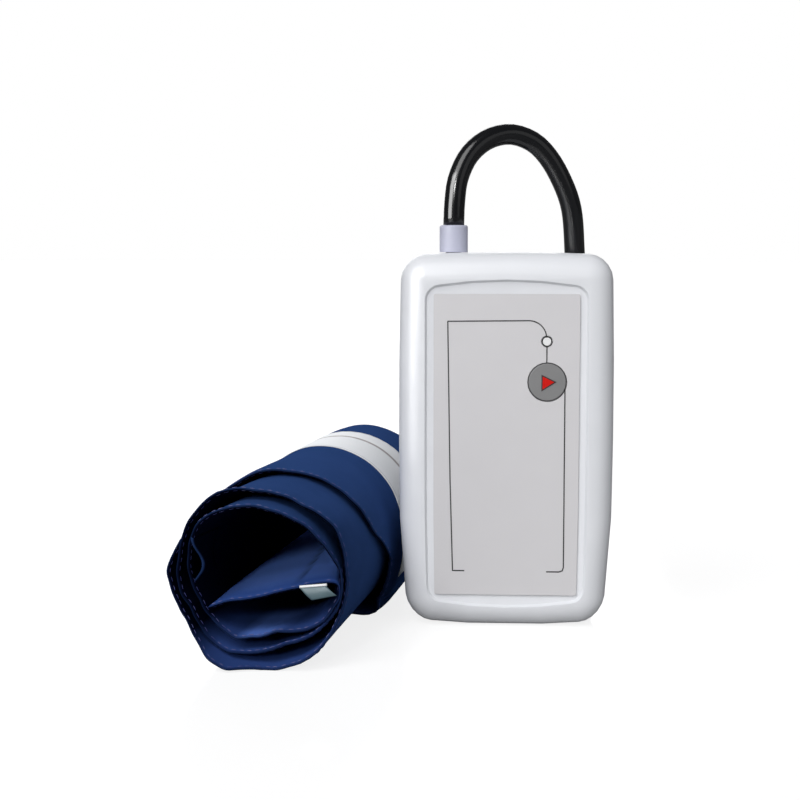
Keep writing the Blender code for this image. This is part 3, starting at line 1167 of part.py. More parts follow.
def path_normals(path):
    """Unit normals that point out of the roll where it is round."""
    normals = []
    for number in range(len(path)):
        before = path[max(0, number - 1)]
        after = path[min(len(path) - 1, number + 1)]
        along = Vector((after[1] - before[1], after[2] - before[2])).normalized()
        normals.append(Vector((along.y, -along.x)))
    return normals


def near_hem(degrees):
    """The near edge: straight on the inner laps, and cut back at a slant towards the outer end."""
    return CUFF_WIDTH * read_table(CUFF_HEM_SHARES, degrees)


def cuff_place(right, up, along):
    """A point of the roll's own frame in the object's frame, held above the floor."""
    base = Vector((CUFF_NEAR_END[0], CUFF_NEAR_END[1], CUFF_CENTRE_Z))
    point = base + CUFF_ACROSS * right + CUFF_UP * up + CUFF_ALONG * along
    point.z = max(point.z, 0)
    return point


def add_strip(target, ends, offsets, edges):
    """A layer that follows the roll between two angles, two offsets and two edges.

    The edges are a function that gives the near and the far edge, along the roll, at an angle.
    """
    path = cuff_path()
    normals = path_normals(path)
    rows = []
    for (degrees, right, up), normal in zip(path, normals):
        if not ends[0] <= degrees <= ends[1]:
            continue
        near, far = edges(degrees)
        corners = ((offsets[0], near), (offsets[1], near), (offsets[1], far), (offsets[0], far))
        rows.append([cuff_place(right + normal.x * lift, up + normal.y * lift, along)
                     for lift, along in corners])
    add_loft(target, rows)


def make_cuff(cloth, rubber, webbing, tape, plastic):
    """The rolled cuff with its bladder pocket, the bladder, the band sewn round it and its tag."""
    half = CUFF_THICKNESS / 2

    shape = bmesh.new()
    path = cuff_path()
    add_strip(shape, (path[0][0], path[-1][0]), (-half, half), lambda degrees: (near_hem(degrees), CUFF_WIDTH))
    cuff = make_object("cuff_wrap", shape, cloth)

    pocket = BLADDER_THICKNESS / 2 + BLADDER_POCKET_GAP
    hem = BLADDER_HEM
    cut(cuff, "bladder_pocket", lambda tool: add_strip(
        tool, (BLADDER_START_DEGREES, BLADDER_END_DEGREES), (-pocket, pocket),
        lambda degrees: (hem, CUFF_WIDTH + OVERRUN)))
    shape = bmesh.new()
    margin = CUFF_STEP_DEGREES
    add_strip(shape, (BLADDER_START_DEGREES + margin, BLADDER_END_DEGREES - margin),
              (-BLADDER_THICKNESS / 2, BLADDER_THICKNESS / 2),
              lambda degrees: (hem + FIT_GAP, CUFF_WIDTH - BLADDER_BACK_ROOM))
    make_object("cuff_bladder", shape, rubber)

    shape = bmesh.new()
    low = half + FIT_GAP
    ends = (CUFF_TAIL_DEGREES + BAND_TAIL_ROOM_DEGREES, BAND_END_DEGREES)
    add_strip(shape, ends, (low, low + BAND_THICKNESS),
              lambda degrees: (BAND_FROM_NEAR_END, BAND_FROM_NEAR_END + BAND_WIDTH))
    make_object("cuff_band", shape, webbing)
    make_tag(tape)
    make_air_port(plastic)


def make_tag(tape):
    """A short folded tape that hangs from the flap's near edge."""
    right, top = TAG_TOP_RIGHT
    left = right - TAG_WIDTH
    foot = top - TAG_HEIGHT
    outline = [(left, top), (right, top), (right + TAG_LEAN, foot), (left + TAG_LEAN, foot)]
    shape = bmesh.new()
    near = -FIT_GAP
    add_loft(shape, [[cuff_place(x, z, along) for x, z in outline] for along in (near - TAG_THICKNESS, near)])
    make_object("cuff_tag", shape, tape)


def air_port_place():
    """Where the bladder's port leaves the cuff's far edge."""
    right, up = roll_point(AIR_PORT_DEGREES)
    return cuff_place(right, up, CUFF_WIDTH)


def make_air_port(plastic):
    """The bladder's port: a flat tongue in the pocket and a round body that the hose fits on."""
    right, up = roll_point(AIR_PORT_DEGREES)
    rows = []
    start = CUFF_WIDTH + FIT_GAP
    end = start + AIR_PORT_LENGTH
    places = ((start, AIR_PORT_RADIUS - AIR_PORT_EDGE), (start + AIR_PORT_EDGE, AIR_PORT_RADIUS),
              (end - AIR_PORT_EDGE, AIR_PORT_RADIUS), (end, AIR_PORT_RADIUS - AIR_PORT_EDGE))
    for along, radius in places:
        ring = []
        for step in range(SMALL_SEGMENTS):
            turn = math.tau * step / SMALL_SEGMENTS
            ring.append(cuff_place(right + radius * math.cos(turn), up + radius * math.sin(turn), along))
        rows.append(ring)
    shape = bmesh.new()
    add_loft(shape, rows)
    port = make_object("cuff_air_port", shape, plastic)
    half = BLADDER_THICKNESS / 2

    def tongue(tool):
        rings = []
        for along in (CUFF_WIDTH - AIR_PORT_TONGUE_LENGTH, start + AIR_PORT_EDGE):
            rings.append([cuff_place(right + x, up + z, along) for x, z in (
                (-AIR_PORT_TONGUE_HALF_WIDTH, -half), (AIR_PORT_TONGUE_HALF_WIDTH, -half),
                (AIR_PORT_TONGUE_HALF_WIDTH, half), (-AIR_PORT_TONGUE_HALF_WIDTH, half))])
        add_loft(tool, rings)

    join(port, "air_port_tongue", tongue)


def main():
    clear_scene()
    white = make_material("case_white", (0.86, 0.87, 0.90), 0.35)
    label = make_material("label_grey", (0.63, 0.62, 0.63), 0.45)
    button = make_material("button_grey", (0.22, 0.22, 0.22), 0.45)
    lens = make_material("window_white", (0.92, 0.92, 0.92), 0.20)
    diode = make_material("diode", (0.85, 0.80, 0.55), 0.30)
    board = make_material("board_green", (0.03, 0.18, 0.08), 0.50)
    black = make_material("black_plastic", (0.02, 0.02, 0.02), 0.50)
    steel = make_material("steel", (0.62, 0.62, 0.64), 0.35, 1.0)
    brass = make_material("brass", (0.80, 0.60, 0.25), 0.35, 1.0)
    inner_plastic = make_material("inner_plastic", (0.70, 0.70, 0.68), 0.45)
    inner_rubber = make_material("inner_rubber", (0.10, 0.10, 0.11), 0.70)
    jacket = make_material("cell_jacket", (0.15, 0.17, 0.20), 0.35)
    collar = make_material("collar_lavender", (0.74, 0.73, 0.86), 0.40)
    rubber = make_material("hose_rubber", (0.015, 0.016, 0.018), 0.18)
    cloth = make_material("cuff_nylon", (0.012, 0.025, 0.110), 0.60)
    bladder = make_material("bladder_rubber", (0.05, 0.05, 0.06), 0.60)
    webbing = make_material("band_white", (0.78, 0.80, 0.82), 0.60)
    tape = make_material("tag_tape", (0.45, 0.52, 0.50), 0.60)

    make_front_shell(white)
    make_rear_shell(white)
    make_screws(steel)
    make_label(label)
    make_button(button, black)
    make_window(lens, diode)
    make_board(board, black, steel)
    make_air_parts(inner_plastic, inner_rubber)
    make_valve(steel, brass)
    make_pump(steel, inner_plastic, inner_rubber)
    make_cells(jacket, steel)
    make_door(white)
    make_plug(collar, inner_plastic, inner_rubber)
    make_hose(rubber)
    make_cuff(cloth, bladder, webbing, tape, black)


main()
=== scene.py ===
"""Looks of the ambulatory blood pressure monitor: finishes, print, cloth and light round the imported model."""

import json
import math
from types import SimpleNamespace

import bmesh
import bpy
import numpy as np
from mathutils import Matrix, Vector, noise


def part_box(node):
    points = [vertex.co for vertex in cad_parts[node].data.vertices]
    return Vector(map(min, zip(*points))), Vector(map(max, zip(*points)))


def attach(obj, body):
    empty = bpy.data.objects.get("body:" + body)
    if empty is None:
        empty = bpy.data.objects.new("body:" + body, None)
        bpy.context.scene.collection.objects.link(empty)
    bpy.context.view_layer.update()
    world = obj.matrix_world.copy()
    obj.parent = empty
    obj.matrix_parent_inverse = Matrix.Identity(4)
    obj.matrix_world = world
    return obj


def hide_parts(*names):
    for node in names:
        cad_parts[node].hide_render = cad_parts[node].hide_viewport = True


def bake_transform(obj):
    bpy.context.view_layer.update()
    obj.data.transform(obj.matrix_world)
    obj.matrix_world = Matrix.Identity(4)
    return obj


# The photograph's camera
CAMERA_PLACE = (-0.0073, -0.5143, 0.124)
CAMERA_YAW = -0.055
CAMERA_DIP = 0.0962
CAMERA_LENS = 68.9
CAMERA_SENSOR = 36

# The hose, on the route that its solids take
HOSE_DIAMETER = 0.007
HOSE_GAP = 2e-5
COLLAR_REACH = 0.00027
HOSE_SIDES = 24
HOSE_STEP = 0.0025
COLLAR_BORE = 0.003
COLLAR_SIDES = 64
COLLAR_ROUND = 0.0007
COLLAR_ROUND_STEPS = 9
COLLAR_SHARP_DEGREES = 40
COLLAR_FOOT_EDGE = 0.0001
COIL_RADIUS = 0.045
COIL_TURNS = 3.5
COIL_LAP = 0.0075
COIL_LAYER = 0.0075
COIL_CLIMB_TURNS = 0.5
COIL_CENTRE = (-0.008, 0.15)
COIL_STEPS_PER_TURN = 72
HOSE_ARCH = (
    (-0.0174, 0.0002, 0.1404), (-0.0163, 0.0012, 0.1485), (-0.0128, 0.0036, 0.1562), (-0.007, 0.0064, 0.1615),
    (0.0003, 0.009, 0.1636), (0.007, 0.011, 0.1621), (0.0125, 0.0124, 0.158), (0.0178, 0.0142, 0.1502),
    (0.0222, 0.0166, 0.1391), (0.0237, 0.0192, 0.124), (0.0243, 0.0199, 0.108), (0.0246, 0.0201, 0.085),
    (0.0252, 0.0206, 0.06), (0.0262, 0.0231, 0.037), (0.0275, 0.0303, 0.019), (0.029, 0.041, 0.0085),
    (0.0305, 0.054, 0.0042), (0.0324, 0.072, 0.0035), (0.0347, 0.093, 0.0035), (0.0367, 0.115, 0.0035))
# The point of the arch from which it keeps still while the plug is pulled
HOSE_TAIL = ((-0.0531, 0.126, 0.0093), (-0.0526, 0.116, 0.0062))

# The rolled cuff inside, on the line that its solid takes: lengths along the roll start at the near end
CUFF_WIDTH = 0.16
CUFF_MIDDLE_RADIUS = 0.02715
CUFF_CENTRE_Z = 0.0279
CUFF_LAP = 0.0031
CUFF_STEP_FROM_DEGREES = 270
CUFF_STEP_INWARDS_SHARE = 0.25
CUFF_NEAR_END = (-0.0755, -0.066)
CUFF_HEADING = math.radians(7.2)
CUFF_TAIL_DEGREES = -42
CUFF_TAIL_LEAVES_DEGREES = 4
CUFF_TAIL_FLARE = 0.0032
CUFF_TAIL_BEND_POWER = 1.5
CUFF_TUCK_DEGREES = 10
CUFF_INNER_DEGREES = 1060
CUFF_STEP_DEGREES = 2
CUFF_BULGE = 0.0026
CUFF_BULGE_DECAY_SHARE = 0.05
CUFF_BULGE_SHARES = (
    (0, 0.46), (15, 0.4), (30, 0.32), (45, 0.22), (60, 0.12), (75, 0.05), (90, 0), (150, -0.03),
    (180, -0.03), (210, -0.19), (238, 0.14), (255, 0.11), (270, 0), (290, 0.36), (312, 1), (330, 0.84),
    (345, 0.6), (360, 0.46))
CUFF_HEM_SHARES = (
    (-60, 0.448), (-42, 0.42), (-16, 0.412), (12, 0.275), (34, 0.225), (63, 0.2), (90, 0.194), (120, 0.175),
    (150, 0.1), (180, 0), (1080, 0))
CUFF_TUCK = ((0.012, -0.02745), (0.0165, -0.0274), (0.0204, -0.02725), (0.0227, -0.0265), (0.0242, -0.0248))
CUFF_FLAP = (
    (0.01895, -0.005), (0.0185, -0.0034), (0.017, -0.0026), (0.014, -0.0029), (0.0063, -0.0047),
    (-0.0012, -0.0066), (-0.0081, -0.0079), (-0.0146, -0.0104))
TUCK_ROWS = 18
TUCK_THIN_LENGTH = 0.014
FLAP_ROWS = 46
FLAP_BLEND_DEGREES = 1.5
SMOOTH_ROWS = 4

# The cuff's near hem, as it sags and gapes in the photograph: angle, radius and place along the roll
HEM_BLEND_DEGREES = 12
NEAR_HEM = (
    (164, 0.0272, 0), (178, 0.0275, 0), (188, 0.0272, 0), (198, 0.0262, -0.001), (212, 0.0252, -0.001),
    (227, 0.0258, -0.004), (236, 0.0263, -0.007), (244, 0.0269, -0.0095), (255, 0.0279, -0.0095),
    (264, 0.0274, -0.0075), (271, 0.0272, -0.005), (282, 0.028, -0.004), (290, 0.0284, -0.004),
    (299, 0.0292, -0.0045), (310, 0.0295, -0.004), (318, 0.0291, -0.002), (330, 0.0285, 0),
    (345, 0.0279, 0), (352, 0.0278, 0), (368, 0.0283, 0), (380, 0.0287, 0), (391, 0.0286, 0),
    (404, 0.027, 0), (416, 0.0256, 0), (431, 0.0255, 0), (447, 0.0257, 0), (459, 0.0263, 0),
    (470, 0.0265, 0), (478, 0.0266, 0), (500, 0.0259, 0), (511, 0.0252, 0), (527, 0.0245, 0),
    (538, 0.0243, 0), (554, 0.0236, 0), (567, 0.0227, 0), (584, 0.024, 0), (601, 0.0254, 0),
    (610, 0.0252, -0.001), (627, 0.0231, -0.002), (640, 0.0228, -0.002), (654, 0.0229, -0.001),
    (679, 0.025, 0), (698, 0.0267, 0), (712, 0.0268, 0), (725, 0.0264, 0), (741, 0.0249, -0.004),
    (752, 0.0239, -0.006), (773, 0.0232, -0.009), (791, 0.0226, -0.01), (813, 0.0223, -0.01),
    (830, 0.0222, -0.01), (850, 0.022, -0.009), (869, 0.0214, -0.006), (880, 0.0207, -0.004),
    (894, 0.02, -0.002), (909, 0.0196, 0), (926, 0.0189, 0), (947, 0.0194, 0), (960, 0.0203, 0),
    (971, 0.0205, -0.001), (986, 0.0185, -0.001), (1010, 0.0182, 0), (1029, 0.0217, 0), (1040, 0.0238, 0),
    (1048, 0.0251, 0), (1060, 0.0257, 0), (1080, 0.0257, 0))
NEAR_FLAP = (
    (0.0254, -0.0062), (0.0256, -0.0034), (0.0242, -0.0018), (0.0175, -0.0026), (0.0063, -0.005),
    (-0.0012, -0.0072), (-0.009, -0.0086), (-0.015, -0.011))
HEM_REACHES = (
    (180, 0.01), (290, 0.014), (330, 0.022), (400, 0.02), (440, 0.01), (640, 0.01), (680, 0.02),
    (750, 0.018), (790, 0.012), (950, 0.012), (985, 0.026), (1020, 0.026), (1040, 0.022), (1080, 0.022))
HEM_FALL_POWER = 1.3
HEM_JAG = 0.00045
HEM_JAG_LENGTH = 0.0019
HEM_JAG_PHASE = 1
GOLDEN = 1.618
# Ripples at the hem: share of the height, length and phase of each wave
HEM_WAVES = ((1, 0.0046, 1), (0.7, 0.0027, 0.3))
HEM_RIPPLE = 0.00022
HEM_RIPPLE_REACH = 0.007
CLOTH_HEM_HALF = 0.00042
CLOTH_BODY_HALF = 0.00112
CLOTH_LEAST_SHARE = 0.0001
HEM_STATIONS = (
    0, 0.0001, 0.00025, 0.00042, 0.0008, 0.0012, 0.0017, 0.0023, 0.003, 0.0038, 0.0047, 0.0058, 0.007,
    0.0085, 0.0102, 0.0122, 0.0145, 0.017, 0.02, 0.0235)
CUFF_MIDDLE_STATIONS = 40
WRINKLE_HEIGHT = 0.00022
# Wrinkles: share of the height, then the noise's pace round the roll, slant, pace along it and level
WRINKLES = ((1, 42, 0, 24, 3), (0.35, 120, 55, 95, 9))
DENT_DEGREES = 128
DENT_SPREAD_DEGREES = 22
DENT_DEPTH = 0.0014
DENT_FROM = 0.05
DENT_EASE = 0.008
CREASE_FOOT = 0.013
CREASE_LEAN = 0.107
CREASE_HALF = 0.0008
CREASE_DEPTH = 0.0006

# Where the cloth is painted darker as painted shade or brighter as painted light, as a climb and a fall over
# angles or over lengths from the hem
UNSHADED_LOW_WALL_DEGREES = (222, 240, 325, 345)
LEFT_WALL_SHADE_DEGREES = (120, 150, 215, 235)
LEFT_WALL_SHADE_FROM_DEGREES = 420
LEFT_WALL_SHADE_SHARE = 0.7
LIT_PATCH_DEGREES = (972, 984, 998, 1018)
LIT_PATCH_REACH = (0.036, 0.046)
LIT_PATCH_SHARE = 0.5
FLAP_DEEP_LIGHT = (0.006, 0.026)
CREASE_SHADE_SHARE = 0.55
HEM_SHADE = 0.0005
HEM_SHADE_SHARE = 0.75

# Stitches: each ring of the thread has its place along the half length and its share of the thickness
STITCH_RINGS = ((-1, 0.25), (-0.75, 0.8), (0, 1), (0.75, 0.8), (1, 0.25))
STITCH_SINK = 0.6
STITCH_FROM_HEM = 0.0012
STITCH_PITCH = 0.0026
STITCH_HALF_LENGTH = 0.00085
STITCH_HALF_WIDTH = 0.00013
STITCH_SIDES = 6

# The loose fold of the lining on the bore's left wall
FOLD_DEGREES = (866, 909)
FOLD_LEAN = 1.2
FOLD_RISE = 0.0043
FOLD_REACH = 0.0095
FOLD_GAP = 0.0001
FOLD_THICKNESS = 0.00045
# Where the fold's painted shade starts behind its lit rim
FOLD_SHADE_FROM_RIM = (-0.0008, 0.0006)
FOLD_STATIONS = (
    0, 0.0002, 0.0005, 0.001, 0.0018, 0.003, 0.0045, 0.0065, 0.009, 0.012, 0.0155, 0.019, 0.023)

# The woven band round the roll
BAND_FROM_NEAR_END = 0.084
BAND_WIDTH = 0.044
BAND_DEGREES = (-32, 220)
BAND_THICKNESS = 0.00018
BAND_EDGE_SHARE = 0.25
BAND_LIFT = 0.00012
BAND_ROUND = 0.0003
BAND_PUCKER = 4e-5
BAND_PUCKER_TURN = 1.7
BAND_PUCKER_REACH = 0.0012
BAND_EDGE_STATIONS = (0, 8e-5, 0.0002, 0.0005, 0.0009, 0.0013, 0.0017, 0.0022, 0.003)
BAND_MIDDLE_STATIONS = 20
BAND_LINE = 0.113
BAND_LINE_HALF = 0.00032
BAND_SEAM = 0.0016
BAND_SEAM_HALF = 0.00035
# How far in from each rim the band is darkened as painted shade
BAND_RIM_SHADE = 0.00045

# The tape on the flap: corners from the top left round to the foot's left, as (right, up)
TAG_CORNERS = ((0.0142, -0.0033), (0.0222, -0.0024), (0.0253, -0.0051), (0.0177, -0.0068))
TAG_ALONG = -0.0011
TAG_HALF = 0.00018
TAG_BELLY = 0.0004
TAG_WAVE_SHARE = 0.3
TAG_STEPS = 10
TAG_FOLD_RADIUS = 0.00042
TAG_FOLD_SHARES = (-0.02, 1.02)
TAG_FOLD_STEPS = 12

# Print on the front panel
PRINT_Y = -0.01475
PRINT_LIFT = 2e-5
PRINT_THICKNESS = 4e-5
PRINT_WIDTH = 0.00042
PRINT_STEP = 0.0005
PRINT_JOIN = 0.0001
PRINT_ARC_STEPS = 24
RING_SIDES = 72
LED_CENTRE = (0.0131, 0.0951)
LED_RING = (0.00134, 0.00172)
BUTTON_CENTRE = (0.0133, 0.0818)
BUTTON_RING = (0.0059, 0.0063)
BUTTON_FACE_Y = -0.01505
PRINT_TOP_LINE = ((-0.0193, 0.1016), (0.007, 0.10185))
PRINT_ARC_CENTRE = (0.0072, 0.09605)
PRINT_ARC_RADIUS = 0.0058
PRINT_SIDE_LINE = ((0.01907, 0.0816), (0.01915, 0.0205), (0.0188, 0.0194), (0.01775, 0.019), (0.0135, 0.019))
PRINT_LEFT_LINE = ((-0.0192, 0.1016), (-0.0183, 0.0493), (-0.0174, 0.0191), (-0.0135, 0.0191))
TRIANGLE = ((0.0114, 0.0843), (0.0114, 0.0788), (0.0163, 0.0819))
# The triangle's layers: piece, finish, share of the full size, and height in thicknesses of ink
TRIANGLE_LAYERS = (("triangle_outline", "triangle_outline", 1, 3), ("triangle", "triangle_red", 0.76, 4))

# Moulded edges: the angle that keeps one sharp, how far some are rounded, and nodes whose faces stay flat
SMOOTH_ANGLE = math.radians(32)
WELD_REACH = 2e-6
SOFT_EDGES = {"front_shell": 0.0009}
SOFT_EDGE_STEPS = 3
RIDGED_NODES = ("battery_door",)

# Moulded finishes: colour, roughness, the grain's scale and depth, the gloss's spread, the clouds' tint
MOULDED = {
    "case_white": ((0.815, 0.828, 0.86), 0.34, 2500, 2e-5, 0.06, 0.94),
    "label_grey": ((0.66, 0.648, 0.662), 0.42, 1800, 1e-5, 0.05, 0.97),
    "button_grey": ((0.205, 0.205, 0.207), 0.5, 2500, 2e-5, 0.06, 0.94),
    "window_white": ((0.9, 0.9, 0.9), 0.22, 2500, 2e-5, 0.06, 0.94),
    "diode": ((0.8, 0.76, 0.52), 0.25, 2000, 1e-5, 0.05, 0.9),
    "inner_plastic": ((0.62, 0.62, 0.58), 0.42, 2500, 2e-5, 0.06, 0.94),
    "inner_rubber": ((0.045, 0.045, 0.048), 0.62, 1600, 4e-5, 0.06, 0.7),
    "bladder_rubber": ((0.035, 0.036, 0.042), 0.58, 1300, 5e-5, 0.06, 0.7),
    "black_plastic": ((0.016, 0.016, 0.017), 0.45, 2100, 3e-5, 0.06, 0.7),
    "collar_lavender": ((0.52, 0.53, 0.65), 0.52, 2500, 2e-5, 0.06, 0.94),
    "hose_rubber": ((0.0045, 0.0049, 0.0066), 0.17, 900, 1e-6, 0.02, 0.7),
    "stitch_thread": ((0.034, 0.04, 0.2), 0.55, 2600, 3e-5, 0.06, 0.75),
    # The tag's tape is darkened as painted shade, and its fold is white as painted highlight
    "tag_tape": ((0.078, 0.14, 0.165), 0.55, 1500, 4e-5, 0.05, 0.8),
    "tag_fold": ((0.86, 0.87, 0.88), 0.5, 1500, 3e-5, 0.05, 0.9),
    "print_ink": ((0.035, 0.034, 0.036), 0.45, 900, 1e-5, 0.06, 0.7),
    "triangle_red": ((0.7, 0.01, 0.006), 0.4, 1200, 1e-5, 0.05, 0.85),
    "triangle_outline": ((0.03, 0.006, 0.006), 0.45, 1200, 1e-5, 0.05, 0.8),
}
CLOUD_NOISE = (60, 3)
GLOSS_NOISE = (240, 3)
GRAIN_DETAIL = 2
SPECULAR_LEVELS = {"collar_lavender": 0.25, "triangle_red": 0.1, "cuff_nylon": 0}

# Drawn metals: colour, roughness and the way that the fine lines run
BRUSHED = {
    "steel": ((0.6, 0.6, 0.62), 0.32, (1, 1, 12)),
    "motor_steel": ((0.56, 0.56, 0.58), 0.3, (14, 1, 1)),
    "brass": ((0.75, 0.52, 0.2), 0.3, (12, 12, 1)),
}
TARNISH_NOISE = (180, 4)
TARNISH_TINT = 0.82
LINE_NOISE = (1100, 3)
LINE_GLOSS = (-0.08, 0.1)
LINE_DEPTH = 1.5e-5

# Finishes with a colouring of their own: colour, roughness, its reach and noise, the bumps' noise and depth
TEXTURED = {
    "cuff_nylon": ((0.018, 0.045, 0.165), 0.42, (0.4, 0.52), (150, 3),
                   ((1900, 2, 4e-5), (160, 3, 0.00018))),
    "band_white": ((0.72, 0.74, 0.77), 0.6, (0.52, 0.68), (300, 2),
                   ((1500, 2, (1, 0.15, 1), 6e-5),)),
    "board_green": ((0.02, 0.16, 0.06), 0.4, (0.34, 0.48), (300, 2), ()),
    "cell_jacket": ((0.03, 0.03, 0.035), 0.3, (0.24, 0.38), (200, 2), ((900, 2, 2e-5),)),
}

# The cuff cloth's colours, each between two tones that its clouds go through: the outside and lining tones are
# the cloth's own, the shaded tone is painted shade, and the two flap tones are painted light
CLOTH_NOISE = (40, 3)
CLOTH_TONES = {
    "outside": ((0.0215, 0.054, 0.168), (0.032, 0.072, 0.22)),
    "lining": ((0.026, 0.056, 0.2), (0.036, 0.076, 0.26)),
    "shaded": ((0.0016, 0.003, 0.012), (0.0028, 0.005, 0.02)),
    "flap_painted_light": ((0.034, 0.082, 0.31), (0.046, 0.108, 0.38)),
    "bright_painted_light": ((0.135, 0.27, 0.84), (0.17, 0.33, 0.94)),
}
BAND_NOISE = (90, 3)
BAND_TONES = ((0.9, 0.92, 0.95), (0.94, 0.96, 0.98))
BAND_LINE_COLOUR = (0.22, 0.17, 0.17)
# The seam's colour, also laid along the band's rims as painted shade
BAND_SEAM_AND_RIM_SHADE_COLOUR = (0.62, 0.65, 0.69)

# The board's copper tracks below its mask, and a cell's jacket with its copper-coloured end
TRACK_SCALE = 260
TRACK_GAP = 0.035
TRACK_DEPTH = 3e-5
TRACK_COLOURS = ((0.012, 0.12, 0.045, 1), (0.018, 0.15, 0.055, 1), (0.045, 0.23, 0.08, 1))
CELL_NOISE = (120, 3)
CELL_TONES = ((0.02, 0.021, 0.024), (0.034, 0.035, 0.04))
CELL_COPPER = (0.48, 0.22, 0.09)
CELL_COPPER_FROM = 0.045
CELL_COPPER_BLUR = 0.0002

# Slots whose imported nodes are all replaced, and nodes with another finish than their slot's
REPLACED_SLOTS = ("collar_lavender", "hose_rubber", "cuff_nylon", "band_white", "tag_tape")
OTHER_FINISHES = {"pump_motor": "motor_steel", "pump_rotor": "motor_steel"}

# Stage: the floor, the light from all round, and the distant lamps with direction, strength and spread
FLOOR_Z = -0.0001
FLOOR_SIZE = 40
FLOOR_COLOUR = (0.26, 0.26, 0.26, 1)
FLOOR_GLOW = 0.82
FLOOR_GLOSS_SHARE = 0.1
FLOOR_GLOSS_ROUGHNESS = 0.1
WHITE = (1, 1, 1, 1)
WORLD_COLOUR = (0.93, 0.95, 1, 1)
WORLD_LIGHT = 0.22
WORLD_GLOSS = 0.1
SUNS = (
    ("key", (0.34, 0.64, -0.72), 0.53, 40), ("fill", (-0.75, 0.6, -0.35), 0.055, 40),
    ("front", (0.2, 0.92, -0.33), 0.29, 8), ("back", (0.2, -0.9, -0.35), 0.26, 40))

# A softbox that only shines in glossy surfaces
SOFTBOX_PLACE = (-0.62, -0.6, 0.3)
SOFTBOX_TARGET = (0, 0, 0.12)
SOFTBOX_SIZE = (0.6, 0.8)
SOFTBOX_RADIANCE = 12

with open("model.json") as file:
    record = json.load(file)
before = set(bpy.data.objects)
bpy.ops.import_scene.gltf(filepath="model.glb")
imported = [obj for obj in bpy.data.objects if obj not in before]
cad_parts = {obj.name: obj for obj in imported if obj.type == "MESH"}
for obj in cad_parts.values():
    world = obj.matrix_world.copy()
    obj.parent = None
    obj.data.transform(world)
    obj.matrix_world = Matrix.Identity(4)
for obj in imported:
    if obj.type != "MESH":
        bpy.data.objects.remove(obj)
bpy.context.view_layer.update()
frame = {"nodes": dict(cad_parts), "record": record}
CUFF_ALONG = Vector((math.sin(CUFF_HEADING), math.cos(CUFF_HEADING), 0))
CUFF_ACROSS = Vector((math.cos(CUFF_HEADING), -math.sin(CUFF_HEADING), 0))
UP = np.array((0.0, 0.0, 1.0))


def add_object(name, data):
    thing = bpy.data.objects.new(name, data)
    bpy.context.scene.collection.objects.link(thing)
    return thing


def aim(thing, direction):
    """Turns a lamp to shine along a direction."""
    thing.rotation_euler = Vector(direction).to_track_quat("-Z", "Y").to_euler()


def make_camera():
    data = bpy.data.cameras.new("photo_camera")
    data.lens = CAMERA_LENS
    data.sensor_width = CAMERA_SENSOR
    camera = add_object("photo_camera", data)
    camera.location = CAMERA_PLACE
    camera.rotation_euler = (math.pi / 2 - CAMERA_DIP, 0, -CAMERA_YAW)
    bpy.context.scene.camera = camera


def make_piece(name, points, faces, material, body="monitor", slot=None, stands_for=(), smooth=True):
    """A mesh piece in the object's frame that rides on a body."""
    mesh = bpy.data.meshes.new(name)
    mesh.from_pydata([tuple(p) for p in points], [], faces)
    mesh.validate()
    if smooth:
        mesh.shade_smooth()
    mesh.materials.append(material)
    piece = add_object(name, mesh)
    shape = bmesh.new()
    shape.from_mesh(mesh)
    bmesh.ops.recalc_face_normals(shape, faces=shape.faces)
    shape.to_mesh(mesh)
    shape.free()
    if body:
        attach(piece, body)
    if stands_for:
        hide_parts(*stands_for)
    return piece


def rings(count, sides, looped=False, first=0):
    """Faces that join rings of points, with flat ends unless the last ring meets the first."""
    faces = []
    for ring in range(count if looped else count - 1):
        a, b = first + ring * sides, first + (ring + 1) % count * sides
        for i in range(sides):
            j = (i + 1) % sides
            faces.append((a + i, a + j, b + j, b + i))
    if not looped:
        last = first + (count - 1) * sides
        faces.append(tuple(range(first, first + sides)))
        faces.append(tuple(reversed(range(last, last + sides))))
    return faces


def link(source, target):
    source.id_data.links.new(source, target)


def add_node(tree, kind, **values):
    """A shader node with its properties, and its sockets' values or links, set by name."""
    node = tree.nodes.new(kind)
    for name, value in values.items():
        label = name.replace("_", " ")
        if label not in node.inputs:
            setattr(node, name, value)
        elif isinstance(value, bpy.types.NodeSocket):
            link(value, node.inputs[label])
        else:
            node.inputs[label].default_value = value
    return node


def new_material(name, colour, roughness, metallic=0.0):
    material = bpy.data.materials.new(name)
    material.use_nodes = True
    shader = material.node_tree.nodes["Principled BSDF"]
    shader.inputs["Base Color"].default_value = (*colour, 1.0)
    shader.inputs["Roughness"].default_value = roughness
    shader.inputs["Metallic"].default_value = metallic
    if name in SPECULAR_LEVELS:
        shader.inputs["Specular IOR Level"].default_value = SPECULAR_LEVELS[name]
    return material, shader, material.node_tree


def own_place(tree):
    return add_node(tree, "ShaderNodeTexCoord").outputs["Object"]


def noise_of(tree, scale, detail, stretch=(1.0, 1.0, 1.0)):
    mapping = add_node(tree, "ShaderNodeMapping", Scale=stretch, Vector=own_place(tree))
    return add_node(tree, "ShaderNodeTexNoise", Scale=scale, Detail=detail,
                    Vector=mapping.outputs["Vector"]).outputs["Fac"]


def stored(tree, name):
    """The values that a piece's points hold under a name."""
    return add_node(tree, "ShaderNodeAttribute", attribute_name=name).outputs["Fac"]


def between(tree, share, low, high):
    """A number that goes from low to high as the share goes from a quarter to three quarters."""
    return add_node(tree, "ShaderNodeMapRange", Value=share, From_Min=0.25, From_Max=0.75, To_Min=low,
                    To_Max=high).outputs["Result"]


